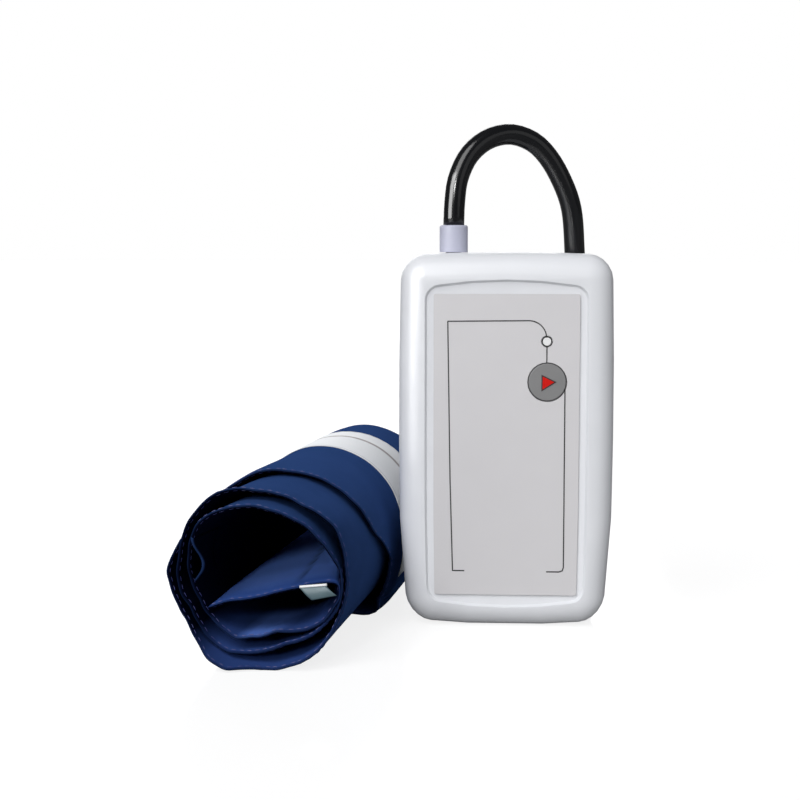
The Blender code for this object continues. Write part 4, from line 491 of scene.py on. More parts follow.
def mixed(tree, share, first, second):
    """The first colour where the share is 0 and the second where it is 1: each is a colour or a socket."""
    first, second = [c if isinstance(c, bpy.types.NodeSocket) else (*c, 1.0) for c in (first, second)]
    mix = add_node(tree, "ShaderNodeMix", data_type="RGBA", Factor=share, A=first, B=second)
    return mix.outputs["Result"]


def add_bump(shader, height, distance):
    """Raises the surface by a height, on top of the bumps that it has."""
    normal = shader.inputs["Normal"]
    bump = add_node(shader.id_data, "ShaderNodeBump", Distance=distance, Height=height)
    if normal.links:
        link(normal.links[0].from_socket, bump.inputs["Normal"])
    link(bump.outputs["Normal"], normal)


def add_surface(shader, gloss, gloss_noise, bumps):
    """Lets the roughness wander between two values, and adds bumps of noise."""
    tree = shader.id_data
    link(between(tree, noise_of(tree, *gloss_noise), *gloss), shader.inputs["Roughness"])
    for *grain, depth in bumps:
        add_bump(shader, noise_of(tree, *grain), depth)


def moulded(name):
    """Moulded plastic or rubber: a faint cloudiness, a fine spark-eroded grain and a varying gloss."""
    colour, roughness, grain_scale, grain_depth, gloss, tint = MOULDED[name]
    material, shader, tree = new_material(name, colour, roughness)
    darker = tuple(c * tint for c in colour)
    link(mixed(tree, noise_of(tree, *CLOUD_NOISE), darker, colour), shader.inputs["Base Color"])
    add_surface(shader, (roughness - gloss, roughness + gloss), GLOSS_NOISE,
                ((grain_scale, GRAIN_DETAIL, grain_depth),))
    return material


def brushed(name):
    """Metal with fine lines drawn one way and a little tarnish."""
    colour, roughness, stretch = BRUSHED[name]
    material, shader, tree = new_material(name, colour, roughness, metallic=1.0)
    darker = tuple(c * TARNISH_TINT for c in colour)
    link(mixed(tree, noise_of(tree, *TARNISH_NOISE), darker, colour), shader.inputs["Base Color"])
    drawn = (*LINE_NOISE, stretch)
    add_surface(shader, [roughness + reach for reach in LINE_GLOSS], drawn, ((*drawn, LINE_DEPTH),))
    return material


def cloth_colour(tree):
    """Navy nylon, with painted shade inside on the walls, at its hems and in the crease, and painted light on
    the flap's upper face and a patch of the inner bottom.
    """
    cloud = noise_of(tree, *CLOTH_NOISE)
    tones = {name: mixed(tree, cloud, *pair) for name, pair in CLOTH_TONES.items()}
    flap = mixed(tree, stored(tree, "deep_flap_light"), tones["flap_painted_light"], tones["bright_painted_light"])
    colour = tones["outside"]
    for name, above in (("inside", tones["lining"]), ("wall", tones["shaded"]), ("painted_light_patch", tones["bright_painted_light"]),
                        ("flap", flap), ("crease", tones["shaded"]), ("hem", tones["shaded"])):
        colour = mixed(tree, stored(tree, name), colour, above)
    return colour


def band_colour(tree):
    """White tape with a sewn seam beside each edge, painted shade along its rims in the seam's colour, and one
    thin printed line.
    """
    base = mixed(tree, noise_of(tree, *BAND_NOISE), *BAND_TONES)
    lined = mixed(tree, stored(tree, "printed"), base, BAND_LINE_COLOUR)
    return mixed(tree, stored(tree, "seam"), lined, BAND_SEAM_AND_RIM_SHADE_COLOUR)


def board_colour(tree):
    """Green solder mask over raised copper tracks."""
    mask, other_mask, copper = TRACK_COLOURS
    mapping = add_node(tree, "ShaderNodeMapping", Rotation=(math.pi / 2, 0.0, 0.0), Vector=own_place(tree))
    tracks = add_node(tree, "ShaderNodeTexBrick", Scale=TRACK_SCALE, Color1=mask, Color2=other_mask,
                      Mortar=copper, Mortar_Size=TRACK_GAP, Vector=mapping.outputs["Vector"])
    add_bump(tree.nodes["Principled BSDF"], tracks.outputs["Fac"], TRACK_DEPTH)
    return tracks.outputs["Color"]


def jacket_colour(tree):
    """A cell's shrink jacket: dark with a copper-coloured end."""
    parts = add_node(tree, "ShaderNodeSeparateXYZ", Vector=own_place(tree))
    end = add_node(tree, "ShaderNodeMapRange", Value=parts.outputs["Z"], From_Min=CELL_COPPER_FROM,
                   From_Max=CELL_COPPER_FROM + CELL_COPPER_BLUR)
    dark = mixed(tree, noise_of(tree, *CELL_NOISE), *CELL_TONES)
    return mixed(tree, end.outputs["Result"], dark, CELL_COPPER)


COLOURINGS = {"cuff_nylon": cloth_colour, "band_white": band_colour, "board_green": board_colour,
              "cell_jacket": jacket_colour}


def textured(name):
    """A material with a colouring of its own."""
    colour, roughness, *surface = TEXTURED[name]
    material, shader, tree = new_material(name, colour, roughness)
    link(COLOURINGS[name](tree), shader.inputs["Base Color"])
    add_surface(shader, *surface)
    return material


def curve_point(before, start, end, after, t):
    """A point at the share t of the smooth curve from start to end, which their neighbours bend."""
    return (start * 2 + (end - before) * t + (before * 2 - start * 5 + end * 4 - after) * t ** 2
            + (start * 3 - before - end * 3 + after) * t ** 3) / 2


def smooth_route(points, step):
    """Evenly spaced points on a smooth curve through the given ones."""
    points = [Vector(p) for p in points]
    ends = [points[0] * 2 - points[1]] + points + [points[-1] * 2 - points[-2]]
    parts = 16
    fine = [curve_point(*four, part / parts) for four in zip(ends, ends[1:], ends[2:], ends[3:])
            for part in range(parts)]
    fine.append(points[-1])
    places = [0.0]
    for first, second in zip(fine, fine[1:]):
        places.append(places[-1] + (second - first).length)
    wanted = np.linspace(0, places[-1], max(2, round(places[-1] / step)) + 1)
    return [Vector(np.array([np.interp(w, places, [p[i] for p in fine]) for i in range(3)])) for w in wanted]


def coil_point(turns):
    """A point of the coil: it spirals in on the floor, climbs while it turns back, and spirals out above."""
    radius = COIL_RADIUS - COIL_LAP * min(turns, COIL_TURNS - turns)
    climb = min(1, max(0, (turns - COIL_TURNS / 2) / COIL_CLIMB_TURNS + 1 / 2))
    turn = math.tau * turns
    return Vector((COIL_CENTRE[0] + radius * math.cos(turn), COIL_CENTRE[1] + radius * math.sin(turn),
                   HOSE_DIAMETER / 2 + COIL_LAYER * climb ** 2 * (3 - 2 * climb)))


def hose_route():
    """The hose's centreline from the collar over the case, through the stored coil, to the cuff's port."""
    count = round(COIL_TURNS * COIL_STEPS_PER_TURN)
    coil = [coil_point(COIL_TURNS * number / count) for number in range(count + 1)]
    short = COIL_TURNS / count / 100
    into = (coil_point(short) - coil_point(0)).normalized()
    out = (coil_point(COIL_TURNS) - coil_point(COIL_TURNS - short)).normalized()
    low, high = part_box("plug_collar")
    start = Vector(((low.x + high.x) / 2, (low.y + high.y) / 2, high.z + HOSE_GAP))
    arch = smooth_route([start, *HOSE_ARCH, coil[0] - into * 2 * HOSE_DIAMETER,
                         coil[0] - into * HOSE_DIAMETER, coil[0]], HOSE_STEP)
    low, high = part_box("cuff_air_port")
    centre = (low + high) / 2
    reach = ((high - low).y / 2 + HOSE_GAP) / CUFF_ALONG.y
    port = Vector((centre.x + CUFF_ALONG.x * reach, centre.y + CUFF_ALONG.y * reach, centre.z))
    tail = smooth_route([coil[-1], coil[-1] + out * HOSE_DIAMETER, *HOSE_TAIL,
                         port + CUFF_ALONG * HOSE_DIAMETER, port], HOSE_STEP)
    return arch[:-1] + coil + tail[1:]


def tube(route, radius, sides):
    """Points and faces of a round tube along a route, with flat closed ends and no twist."""
    points = []
    side = Vector((0, 1, 0))
    for number, place in enumerate(route):
        along = (route[min(len(route) - 1, number + 1)] - route[max(0, number - 1)]).normalized()
        side = (side - along * side.dot(along)).normalized()
        other = along.cross(side)
        for i in range(sides):
            turn = math.tau * i / sides
            points.append(place + side * radius * math.cos(turn) + other * radius * math.sin(turn))
    return points, rings(len(route), sides)


def make_collar():
    """The plug's collar: a plain lavender sleeve with a softly rounded top that stands on the case."""
    low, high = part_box("plug_collar")
    centre = (low + high) / 2
    radius = (high.x - low.x) / 2
    foot = low.z - COLLAR_REACH
    profile = [(COLLAR_BORE, foot), (radius - COLLAR_FOOT_EDGE, foot), (radius, foot + COLLAR_FOOT_EDGE)]
    for turn in np.linspace(0, math.pi / 2, COLLAR_ROUND_STEPS):
        profile.append((radius - COLLAR_ROUND + COLLAR_ROUND * math.cos(turn),
                        high.z - COLLAR_ROUND + COLLAR_ROUND * math.sin(turn)))
    profile.append((COLLAR_BORE, high.z))
    points = [(centre.x + r * math.cos(turn), centre.y + r * math.sin(turn), z)
              for turn in np.linspace(0, math.tau, COLLAR_SIDES, endpoint=False) for r, z in profile]
    collar = make_piece("collar", points, rings(COLLAR_SIDES, len(profile), looped=True),
                        moulded("collar_lavender"), body="plug", slot="collar_lavender",
                        stands_for=("plug_collar",))
    collar.data.set_sharp_from_angle(angle=math.radians(COLLAR_SHARP_DEGREES))


def make_hose():
    route = hose_route()
    hose = make_piece("hose", *tube(route, HOSE_DIAMETER / 2, HOSE_SIDES), moulded("hose_rubber"), body=None)
    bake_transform(hose)
    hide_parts("hose_arch", "hose_coil", "hose_tail")


def smoothed(values, width):
    """The values averaged over a window of rows, with the ends held."""
    window = np.hanning(width + 2)[1:-1]
    padded = np.concatenate([np.full(width // 2, values[0]), values, np.full(width // 2, values[-1])])
    return np.convolve(padded, window / window.sum(), "valid")[:len(values)]


def spread(points, count):
    """A smooth curve through points of any dimension, sampled evenly by the points' numbers."""
    points = np.array(points, float)
    ends = np.vstack([2 * points[0] - points[1], points, 2 * points[-1] - points[-2]])
    rows = []
    for place in np.linspace(0, len(points) - 1, count):
        first = min(int(place), len(points) - 2)
        rows.append(curve_point(*ends[first:first + 4], place - first))
    return np.array(rows)


def look_up(table, degrees, column=1, **ends):
    """A table's values of one column at each angle."""
    columns = np.array(table).T
    return np.interp(degrees, columns[0], columns[column], **ends)


def roll_radius(degrees):
    """The middle of the cloth at each angle, counted inwards from the outer end."""
    turns = np.maximum(0, (degrees - CUFF_STEP_FROM_DEGREES) / 360)
    ramp = np.minimum(1, (turns - np.floor(turns)) / CUFF_STEP_INWARDS_SHARE)
    laps = np.floor(turns) + ramp ** 2 * (3 - 2 * ramp)
    bulge = CUFF_BULGE * look_up(CUFF_BULGE_SHARES, degrees % 360) * (1 - CUFF_BULGE_DECAY_SHARE * laps)
    flare = np.maximum(0, CUFF_TAIL_LEAVES_DEGREES - degrees) / (CUFF_TAIL_LEAVES_DEGREES - CUFF_TAIL_DEGREES)
    return CUFF_MIDDLE_RADIUS - CUFF_LAP * laps + bulge + CUFF_TAIL_FLARE * flare ** CUFF_TAIL_BEND_POWER


def cuff_lines():
    """The cloth's line inside the roll and at its near hem, as rows of (right, up), with each row's angle."""
    count = round((CUFF_INNER_DEGREES - CUFF_TAIL_DEGREES) / CUFF_STEP_DEGREES)
    degrees = np.linspace(CUFF_TAIL_DEGREES, CUFF_INNER_DEGREES, count + 1)
    radius = roll_radius(degrees)
    blend = np.clip((degrees - NEAR_HEM[0][0]) / HEM_BLEND_DEGREES, 0, 1)
    hem_radius = radius + (look_up(NEAR_HEM, degrees) - radius) * blend
    turn = np.radians(degrees)
    direction = np.stack([np.cos(turn), np.sin(turn)], 1)
    body, hem = [direction * smoothed(radii, SMOOTH_ROWS)[:, None] for radii in (radius, hem_radius)]
    tuck = spread([*CUFF_TUCK, body[0]], TUCK_ROWS + 1)[:-1]
    flap = spread([body[-1], *CUFF_FLAP], FLAP_ROWS + 1)[1:]
    hem_flap = spread([hem[-1], *NEAR_FLAP], FLAP_ROWS + 1)[1:]
    tuck_degrees = np.linspace(CUFF_TAIL_DEGREES - CUFF_TUCK_DEGREES, CUFF_TAIL_DEGREES, TUCK_ROWS + 1)[:-1]
    flap_degrees = CUFF_INNER_DEGREES + CUFF_TUCK_DEGREES * np.linspace(0, 1, FLAP_ROWS + 1)[1:]
    return (np.concatenate([tuck_degrees, degrees, flap_degrees]), np.concatenate([tuck, body, flap]),
            np.concatenate([tuck, hem, hem_flap]))


def line_normals(line):
    """Unit normals that point out of the roll."""
    along = np.gradient(line, axis=0)
    length = np.hypot(along[:, 0], along[:, 1])
    return np.stack([along[:, 1] / length, -along[:, 0] / length], 1)


def near_edge(degrees):
    """Where the near hem lies along the roll: cut back on the outer lap, wavy on the inner ones."""
    edge = CUFF_WIDTH * look_up(CUFF_HEM_SHARES, degrees)
    return smoothed(edge + look_up(NEAR_HEM, degrees, 2, left=0), SMOOTH_ROWS)


def rounded(share, least=0.0):
    """How high a round edge stands at a share of its radius from the rim."""
    return np.sqrt(np.clip(1 - (1 - np.minimum(share, 1)) ** 2, least, 1))


def cuff_roll():
    """The roll's cloth: a row for each step round it, with columns from its near to its far hem."""
    degrees, body, hem_line = cuff_lines()
    place = np.concatenate([[0], np.cumsum(np.hypot(*np.diff(body, axis=0).T))])
    wave = HEM_JAG * np.sin(place / HEM_JAG_LENGTH)
    edge = near_edge(degrees) + wave * np.sin(place / (HEM_JAG_LENGTH * GOLDEN) + HEM_JAG_PHASE)
    reach = look_up(HEM_REACHES, degrees)
    stations = np.array(HEM_STATIONS)
    middle = np.linspace(0, 1, CUFF_MIDDLE_STATIONS + 2)[1:-1]
    grid, halves, alongs = [], [], []
    for row in range(len(degrees)):
        width = CUFF_WIDTH - edge[row]
        columns = np.concatenate([stations, stations[-1] + (width - 2 * stations[-1]) * middle,
                                  width - stations[::-1]])
        alongs.append(edge[row] + columns)
        near = np.exp(-(columns / reach[row]) ** HEM_FALL_POWER)[:, None]
        grid.append(body[row] * (1 - near) + hem_line[row] * near)
        to_edge = np.minimum(columns, width - columns)
        to_end = min(place[row], place[-1] - place[row])
        thin = np.exp(-(to_edge / reach[row]) ** HEM_FALL_POWER)
        thin = np.maximum(thin, 1 - min(1, place[row] / TUCK_THIN_LENGTH))
        full = CLOTH_BODY_HALF + (CLOTH_HEM_HALF - CLOTH_BODY_HALF) * thin
        halves.append(full * rounded(np.minimum(to_edge, to_end) / CLOTH_HEM_HALF, CLOTH_LEAST_SHARE))
    grid, halves, alongs = np.array(grid), np.array(halves), np.array(alongs)
    normals = np.stack([line_normals(grid[:, column]) for column in range(grid.shape[1])], 1)
    return SimpleNamespace(degrees=degrees, place=place, grid=grid, normals=normals, halves=halves,
                           alongs=alongs, hem=alongs - edge[:, None])


def to_world(across, along):
    """Points of the roll's own frame, (right, up) and along, in the object's frame and above the floor."""
    points = (np.array([*CUFF_NEAR_END, CUFF_CENTRE_Z]) + across[..., 0, None] * np.array(CUFF_ACROSS)
              + across[..., 1, None] * UP + along[..., None] * np.array(CUFF_ALONG))
    points[..., 2] = np.maximum(points[..., 2], 0.0)
    return points


def flap_crease(roll):
    """1 along the middle of the crease that runs back across the flap, and 0 away from it."""
    away = (roll.grid[..., 0] - (CREASE_FOOT - CREASE_LEAN * roll.hem)) / CREASE_HALF
    return np.exp(-away ** 2) * (roll.degrees > CUFF_INNER_DEGREES)[:, None]


def wrinkle(place, along):
    """The height of the cloth's wrinkles at a place round and along the roll, as a share."""
    return sum(share * noise.noise(Vector((place * pace + along * slant, along * along_pace, level)))
               for share, pace, slant, along_pace, level in WRINKLES)


def cloth_lift(roll):
    """How far the cloth stands out of its line: ripples, wrinkles, the shoulder's dent, the flap's crease."""
    lift = np.zeros(roll.alongs.shape)
    for row, place in enumerate(roll.place):
        ripple = sum(share * math.sin(place / length + phase) for share, length, phase in HEM_WAVES)
        lift[row] += ripple * HEM_RIPPLE * np.exp(-(roll.hem[row] / HEM_RIPPLE_REACH) ** 2)
        for column, along in enumerate(roll.alongs[row]):
            lift[row, column] += WRINKLE_HEIGHT * wrinkle(place, along)
    turn = roll.degrees % 360
    dent = np.exp(-((turn - DENT_DEGREES) / DENT_SPREAD_DEGREES) ** 2)[:, None]
    depth = 1 / (1 + np.exp(-(roll.alongs - DENT_FROM) / DENT_EASE))
    return lift - DENT_DEPTH * dent * depth - CREASE_DEPTH * flap_crease(roll)


def eased(values, start, end):
    """0 before start, 1 after end and a straight climb between."""
    return np.clip((values - start) / (end - start), 0, 1)


def plateau(values, climb_from, climb_to, fall_from, fall_to):
    """1 between a climb and a fall, and 0 outside them."""
    return eased(values, climb_from, climb_to) * (1 - eased(values, fall_from, fall_to))


def cloth_shades(roll):
    """Values of each cloth colour over the outer side's points and then the inner side's: painted shade on the
    walls, the crease and the hems, and painted light on the flap and a patch of the inner bottom.
    """
    turn = (roll.degrees % 360)[:, None]
    ground = np.ones(roll.hem.shape)
    none = 0 * ground
    left = plateau(turn, *LEFT_WALL_SHADE_DEGREES) * (roll.degrees > LEFT_WALL_SHADE_FROM_DEGREES)[:, None]
    lit_patch_rows = LIT_PATCH_SHARE * plateau(roll.degrees, *LIT_PATCH_DEGREES)[:, None]
    flap = eased(roll.degrees, CUFF_INNER_DEGREES, CUFF_INNER_DEGREES + FLAP_BLEND_DEGREES)[:, None]
    # Painted shade along the hems, on both sides of the cloth
    rim = HEM_SHADE_SHARE * np.exp(-(roll.hem / HEM_SHADE) ** 2)
    return {
        "inside": (none, ground),
        # Painted shade: the inner laps' left wall on the outer side, and every inner wall but the low one on
        # the inner side
        "wall": (LEFT_WALL_SHADE_SHARE * left * ground, (1 - plateau(turn, *UNSHADED_LOW_WALL_DEGREES)) * ground),
        # Painted light on a patch of the inner lap's bottom near the hem
        "painted_light_patch": (none, lit_patch_rows * (1 - eased(roll.hem, *LIT_PATCH_REACH))),
        # Painted light on the flap's upper face, brighter deeper into the roll
        "flap": (flap * ground, none),
        "deep_flap_light": (eased(roll.hem, *FLAP_DEEP_LIGHT), none),
        # Painted shade in the flap's crease
        "crease": (CREASE_SHADE_SHARE * flap_crease(roll), none),
        "hem": (rim, rim),
    }


def shell_faces(rows, columns):
    """Faces of a closed sheet whose outer grid's points come before its inner grid's."""
    faces = []
    inner = rows * columns
    for r in range(rows - 1):
        for c in range(columns - 1):
            a = r * columns + c
            faces.append((a, a + 1, a + columns + 1, a + columns))
            faces.append((inner + a, inner + a + columns, inner + a + columns + 1, inner + a + 1))
        for a in (r * columns, (r + 1) * columns - 1):
            faces.append((a, a + columns, inner + a + columns, inner + a))
    for c in range(columns - 1):
        for a in (c, inner - columns + c):
            faces.append((a, a + 1, inner + a + 1, inner + a))
    return faces


def make_sheet(name, outer, inner, material, **roles):
    """A closed sheet between two grids of points."""
    points = np.concatenate([outer.reshape(-1, 3), inner.reshape(-1, 3)])
    return make_piece(name, points, shell_faces(*outer.shape[:2]), material, **roles)


def store(piece, name, values):
    piece.data.attributes.new(name, "FLOAT", "POINT").data.foreach_set("value", values)


def cloth_side(roll, side):
    """The cloth's outer side (1) or inner side (-1), as a grid of points."""
    return to_world(roll.grid + roll.normals * (roll.lift + side * roll.halves)[..., None], roll.alongs)


def make_cuff():
    roll = cuff_roll()
    roll.lift = cloth_lift(roll)
    material = textured("cuff_nylon")
    cuff = make_sheet("cuff_cloth", cloth_side(roll, 1), cloth_side(roll, -1), material, slot="cuff_nylon",
                      stands_for=("cuff_wrap",))
    for name, sides in cloth_shades(roll).items():
        store(cuff, name, np.concatenate([side.ravel() for side in sides]))
    make_lining_fold(roll, material)
    make_stitches(roll)
    make_band(roll)
    make_tag()


def rows_between(roll, start, end):
    return [row for row, turn in enumerate(roll.degrees) if start <= turn <= end]


def on_row(roll, row, along):
    """The cloth's line and its outward normals at places along one row."""
    return [np.stack([np.interp(along, roll.alongs[row], values[row, :, i]) for i in (0, 1)], 1)
            for values in (roll.grid, roll.normals)]


def make_lining_fold(roll, material):
    """The lining's loose fold on the bore's left wall, which bulges at the hem and lies flat further in."""
    start, end = FOLD_DEGREES
    depth = np.array(FOLD_STATIONS)
    top, bottom = [], []
    for row in rows_between(roll, start, end):
        along = roll.alongs[row, 0] + depth
        middle, out = on_row(roll, row, along)
        swell = FOLD_RISE * math.sin(math.pi * ((roll.degrees[row] - start) / (end - start)) ** FOLD_LEAN)
        cloth = np.interp(along, roll.alongs[row], roll.halves[row])
        away = cloth + FOLD_GAP + swell * np.exp(-(depth / FOLD_REACH) ** 2)
        top.append(to_world(middle - out * away[:, None], along))
        bottom.append(to_world(middle - out * (away + FOLD_THICKNESS)[:, None], along))
    fold = make_sheet("cuff_lining_fold", np.array(top), np.array(bottom), material, slot="cuff_nylon")
    # Painted shade over the fold, all but its rim
    store(fold, "wall", np.tile(eased(depth, *FOLD_SHADE_FROM_RIM), 2 * len(top)))


def make_stitches(roll):
    """Rows of small thread stitches beside the near hem, on both faces of the cloth."""
    column = int(np.argmin(np.abs(np.array(HEM_STATIONS) - STITCH_FROM_HEM)))
    points, faces = [], []
    for sign in (1, -1):
        side = cloth_side(roll, sign)[:, column]
        right, up = roll.normals[:, column, 0, None], roll.normals[:, column, 1, None]
        outward = (right * np.array(CUFF_ACROSS) + up * UP) * sign
        for wanted in np.arange(STITCH_PITCH, roll.place[-1] - STITCH_PITCH, STITCH_PITCH):
            row = int(np.searchsorted(roll.place, wanted))
            if 1 <= row < len(roll.place) - 1:
                along = (Vector(side[row + 1]) - Vector(side[row - 1])).normalized()
                faces += rings(len(STITCH_RINGS), STITCH_SIDES, first=len(points))
                points += stitch_points(Vector(side[row]), along, Vector(outward[row]))
    make_piece("cuff_stitches", points, faces, moulded("stitch_thread"), slot="cuff_nylon")


def stitch_points(centre, along, out):
    """One stitch: a thread that comes out of the cloth, lies on it and goes back in."""
    across = along.cross(out)
    turns = [math.tau * side / STITCH_SIDES for side in range(STITCH_SIDES)]
    return [centre + along * (share * STITCH_HALF_LENGTH)
            + across * (STITCH_HALF_WIDTH * size * math.cos(turn))
            + out * (STITCH_HALF_WIDTH * (size * math.sin(turn) + size - STITCH_SINK))
            for share, size in STITCH_RINGS for turn in turns]


def make_band(roll):
    """The woven band sewn round the roll, its edges rounded down onto the cloth."""
    edge = np.array(BAND_EDGE_STATIONS)
    flat = np.linspace(edge[-1], BAND_WIDTH - edge[-1], BAND_MIDDLE_STATIONS)[1:-1]
    across = np.concatenate([edge, flat, BAND_WIDTH - edge[::-1]])
    along = BAND_FROM_NEAR_END + across
    to_edge = np.minimum(across, BAND_WIDTH - across)
    profile = BAND_THICKNESS * (BAND_EDGE_SHARE + (1 - BAND_EDGE_SHARE) * rounded(to_edge / BAND_ROUND))
    top, bottom = [], []
    for row in rows_between(roll, *BAND_DEGREES):
        middle, out = on_row(roll, row, along)
        foot = np.interp(along, roll.alongs[row], roll.lift[row]) + CLOTH_BODY_HALF + BAND_LIFT
        pucker = BAND_PUCKER * np.sin(row * BAND_PUCKER_TURN) * np.exp(-to_edge / BAND_PUCKER_REACH)
        top.append(to_world(middle + out * (foot + profile + pucker)[:, None], along))
        bottom.append(to_world(middle + out * foot[:, None], along))
    top = np.array(top)
    band = make_sheet("cuff_band_cloth", top, np.array(bottom), textured("band_white"),
                      slot="band_white", stands_for=("cuff_band",))
    printed = np.exp(-((along - BAND_LINE) / BAND_LINE_HALF) ** 4)
    # The sewn seams, and painted shade along both rims in the seam's colour
    seam = np.exp(-((to_edge - BAND_SEAM) / BAND_SEAM_HALF) ** 2) + np.exp(-(to_edge / BAND_RIM_SHADE) ** 2)
    for name, values in (("printed", printed), ("seam", seam)):
        store(band, name, np.tile(values, 2 * len(top)))


def make_tag():
    """The tape on the flap's near edge: a white fold above, its lit tone as painted highlight, and the
    grey-green tape that hangs from it, darkened as painted shade.
    """
    top_left, top_right, foot_right, foot_left = [np.array(p) for p in TAG_CORNERS]
    v, u = np.mgrid[0:TAG_STEPS + 1, 0:TAG_STEPS + 1, 0:1][:2] / TAG_STEPS
    place = (top_left * (1 - u) + top_right * u) * (1 - v) + (foot_left * (1 - u) + foot_right * u) * v
    belly = TAG_BELLY * np.sin(math.pi * v) + TAG_WAVE_SHARE * TAG_BELLY * np.sin(2 * math.pi * u)
    far, near = [to_world(place, (TAG_ALONG + face * TAG_HALF - belly)[..., 0]) for face in (-1, 1)]
    make_sheet("tag", far, near, moulded("tag_tape"), slot="tag_tape", stands_for=("cuff_tag",))
    share = np.linspace(*TAG_FOLD_SHARES, TAG_FOLD_STEPS)[:, None]
    crest = top_left * (1 - share) + top_right * share + np.array((0.0, TAG_FOLD_RADIUS))
    route = [Vector(point) for point in to_world(crest, np.full(len(crest), TAG_ALONG))]
    points, faces = tube(route, TAG_FOLD_RADIUS, TAG_FOLD_STEPS)
    make_piece("tag_fold", points, faces, moulded("tag_fold"), slot="tag_tape")


def flat_print(points):
    """Points and faces of one thin raised ink line of even width along (x, z) points."""
    line = np.array(points, float)
    direction = np.gradient(line, axis=0)
    direction /= np.hypot(direction[:, 0], direction[:, 1])[:, None]
    side = np.stack([-direction[:, 1], direction[:, 0]], 1) * PRINT_WIDTH / 2
    corners = []
    for place, reach in zip(line, side):
        for sign, rise in ((1, 0), (-1, 0), (-1, PRINT_THICKNESS), (1, PRINT_THICKNESS)):
            x, z = place + reach * sign
            corners.append((x, PRINT_Y - PRINT_LIFT - rise, z))
    return corners, rings(len(line), 4)


def dense(points):
    """Straight runs between points, sampled finely."""
    rows = [points[0]]
    for first, second in zip(points, points[1:]):
        count = max(1, round(math.dist(first, second) / PRINT_STEP))
        rows += list(np.linspace(first, second, count + 1)[1:])
    return rows


def ring_print(name, centre, radii, front, ink):
    """A thin raised ring of ink round a centre."""
    inner, outer = radii
    back = front + PRINT_THICKNESS
    turns = [math.tau * i / RING_SIDES for i in range(RING_SIDES)]
    section = (inner, back), (inner, front), (outer, front), (outer, back)
    points = [(centre[0] + radius * math.cos(turn), y, centre[1] + radius * math.sin(turn))
              for radius, y in section for turn in turns]
    make_piece(name, points, rings(4, RING_SIDES, looped=True), ink, slot="label_grey", smooth=False)


def make_print():
    """The panel's printed line, the light's and the button's outlines and the button's red triangle."""
    ink = moulded("print_ink")
    arc = [(PRINT_ARC_CENTRE[0] + PRINT_ARC_RADIUS * math.sin(turn),
            PRINT_ARC_CENTRE[1] + PRINT_ARC_RADIUS * math.cos(turn))
           for turn in np.linspace(0, math.pi / 2, PRINT_ARC_STEPS)]
    x, z = LED_CENTRE
    above, below = z + LED_RING[1] - PRINT_JOIN, z - LED_RING[1] + PRINT_JOIN
    lines = {
        "print_across": dense(PRINT_TOP_LINE) + arc[1:-1] + [(x, above)],
        "print_drop": dense([(x, below), (x, BUTTON_CENTRE[1] + BUTTON_RING[1] - PRINT_JOIN)]),
        "print_side": dense(PRINT_SIDE_LINE),
        "print_left": dense(PRINT_LEFT_LINE),
    }
    for name, points in lines.items():
        make_piece(name, *flat_print(points), ink, slot="label_grey", smooth=False)
    height = PRINT_LIFT + PRINT_THICKNESS
    window_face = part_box("led_window")[0].y
    ring_print("led_outline", LED_CENTRE, LED_RING, min(PRINT_Y, window_face) - height, ink)
    ring_print("button_outline", BUTTON_CENTRE, BUTTON_RING, PRINT_Y - height, ink)
    middle = np.mean(TRIANGLE, axis=0)
    far = BUTTON_FACE_Y - PRINT_LIFT
    for name, finish, share, level in TRIANGLE_LAYERS:
        corners = [middle + (np.array(corner) - middle) * share for corner in TRIANGLE]
        points = [(x, y, z) for y in (far, far - PRINT_THICKNESS * level) for x, z in corners]
        make_piece(name, points, rings(2, 3), moulded(finish), body="button", slot="button_grey",
                   smooth=False)


def smooth_facets(piece, soft_edge):
    """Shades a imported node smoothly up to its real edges, and rounds those edges where a radius is given."""
    normals = piece.data.attributes.get("custom_normal")
    if normals:
        piece.data.attributes.remove(normals)
    piece.data.shade_smooth()
    piece.modifiers.new("joined", "WELD").merge_threshold = WELD_REACH
    if soft_edge:
        soften = piece.modifiers.new("soft_edges", "BEVEL")
        soften.width = soft_edge
        soften.segments = SOFT_EDGE_STEPS
        soften.limit_method = "ANGLE"
        soften.angle_limit = SMOOTH_ANGLE
    piece.modifiers.new("edges", "EDGE_SPLIT").split_angle = SMOOTH_ANGLE


def paint_nodes():
    """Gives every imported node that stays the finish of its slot."""
    materials = {}
    for row in frame["record"]["subparts"]:
        name, slot = row["node"], row["material_slot"]
        if slot in REPLACED_SLOTS:
            continue
        finish = OTHER_FINISHES.get(name, slot)
        if finish not in materials:
            kind = moulded if finish in MOULDED else brushed if finish in BRUSHED else textured
            materials[finish] = kind(finish)
        piece = frame["nodes"][name]
        piece.data.materials.clear()
        piece.data.materials.append(materials[finish])
        if name not in RIDGED_NODES:
            smooth_facets(piece, SOFT_EDGES.get(name))


def mixed_shaders(tree, share, first, second):
    mix = add_node(tree, "ShaderNodeMixShader", Fac=share)
    link(first.outputs[0], mix.inputs[1])
    link(second.outputs[0], mix.inputs[2])
    return mix


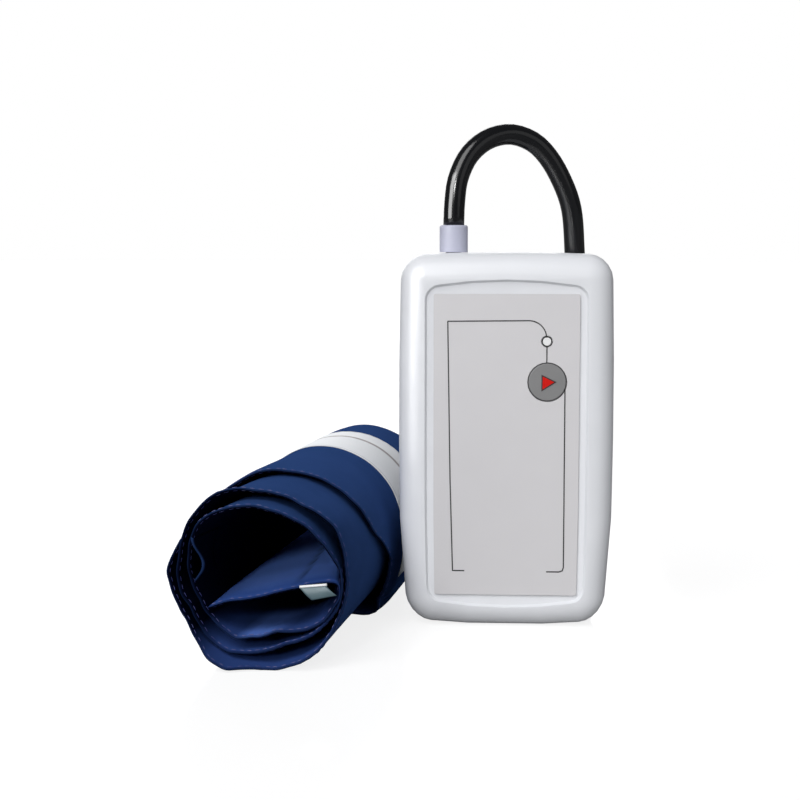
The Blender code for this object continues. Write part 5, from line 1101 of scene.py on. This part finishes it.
def make_stage():
    """A pale floor that shines a little, and glows for the camera alone."""
    half = FLOOR_SIZE / 2
    corners = ((-half, -half), (half, -half), (half, half), (-half, half))
    mesh = bpy.data.meshes.new("floor")
    mesh.from_pydata([(x, y, FLOOR_Z) for x, y in corners], [], [(0, 1, 2, 3)])
    add_object("floor", mesh)
    material = bpy.data.materials.new("floor_white")
    material.use_nodes = True
    tree = material.node_tree
    tree.nodes.remove(tree.nodes["Principled BSDF"])
    diffuse = add_node(tree, "ShaderNodeBsdfDiffuse", Color=FLOOR_COLOUR)
    glossy = add_node(tree, "ShaderNodeBsdfGlossy", Color=WHITE, Roughness=FLOOR_GLOSS_ROUGHNESS)
    rays = add_node(tree, "ShaderNodeLightPath")
    seen = add_node(tree, "ShaderNodeMath", operation="MULTIPLY", Value=rays.outputs["Is Camera Ray"])
    seen.inputs[1].default_value = FLOOR_GLOW
    glow = add_node(tree, "ShaderNodeEmission", Color=WHITE, Strength=seen.outputs[0])
    total = add_node(tree, "ShaderNodeAddShader")
    link(mixed_shaders(tree, FLOOR_GLOSS_SHARE, diffuse, glossy).outputs[0], total.inputs[0])
    link(glow.outputs[0], total.inputs[1])
    link(total.outputs[0], tree.nodes["Material Output"].inputs["Surface"])
    mesh.materials.append(material)


def make_world():
    """Plain light from all round, darker in glossy surfaces and white for the camera."""
    world = bpy.data.worlds.new("studio")
    bpy.context.scene.world = world
    world.use_nodes = True
    tree = world.node_tree
    light = tree.nodes["Background"]
    light.inputs["Color"].default_value = WORLD_COLOUR
    light.inputs["Strength"].default_value = WORLD_LIGHT
    white = add_node(tree, "ShaderNodeBackground", Color=WHITE, Strength=1.0)
    gloss = add_node(tree, "ShaderNodeBackground", Color=WHITE, Strength=WORLD_GLOSS)
    rays = add_node(tree, "ShaderNodeLightPath")
    lit = mixed_shaders(tree, rays.outputs["Is Glossy Ray"], light, gloss)
    seen = mixed_shaders(tree, rays.outputs["Is Camera Ray"], lit, white)
    link(seen.outputs[0], tree.nodes["World Output"].inputs["Surface"])


def make_lights():
    for name, direction, strength, spread_degrees in SUNS:
        data = bpy.data.lights.new(name, "SUN")
        data.energy = strength * math.pi
        data.angle = math.radians(spread_degrees)
        aim(add_object(name, data), direction)
    data = bpy.data.lights.new("softbox_left", "AREA")
    data.shape = "RECTANGLE"
    data.size, data.size_y = SOFTBOX_SIZE
    data.energy = SOFTBOX_RADIANCE * math.pi * data.size * data.size_y
    lamp = add_object("softbox_left", data)
    lamp.location = SOFTBOX_PLACE
    aim(lamp, Vector(SOFTBOX_TARGET) - Vector(SOFTBOX_PLACE))
    lamp.visible_diffuse = False
    lamp.visible_camera = False


def main():
    bpy.context.scene.view_settings.view_transform = "Standard"
    make_camera()
    make_collar()
    make_hose()
    make_cuff()
    make_print()
    paint_nodes()
    make_stage()
    make_world()
    make_lights()


main()
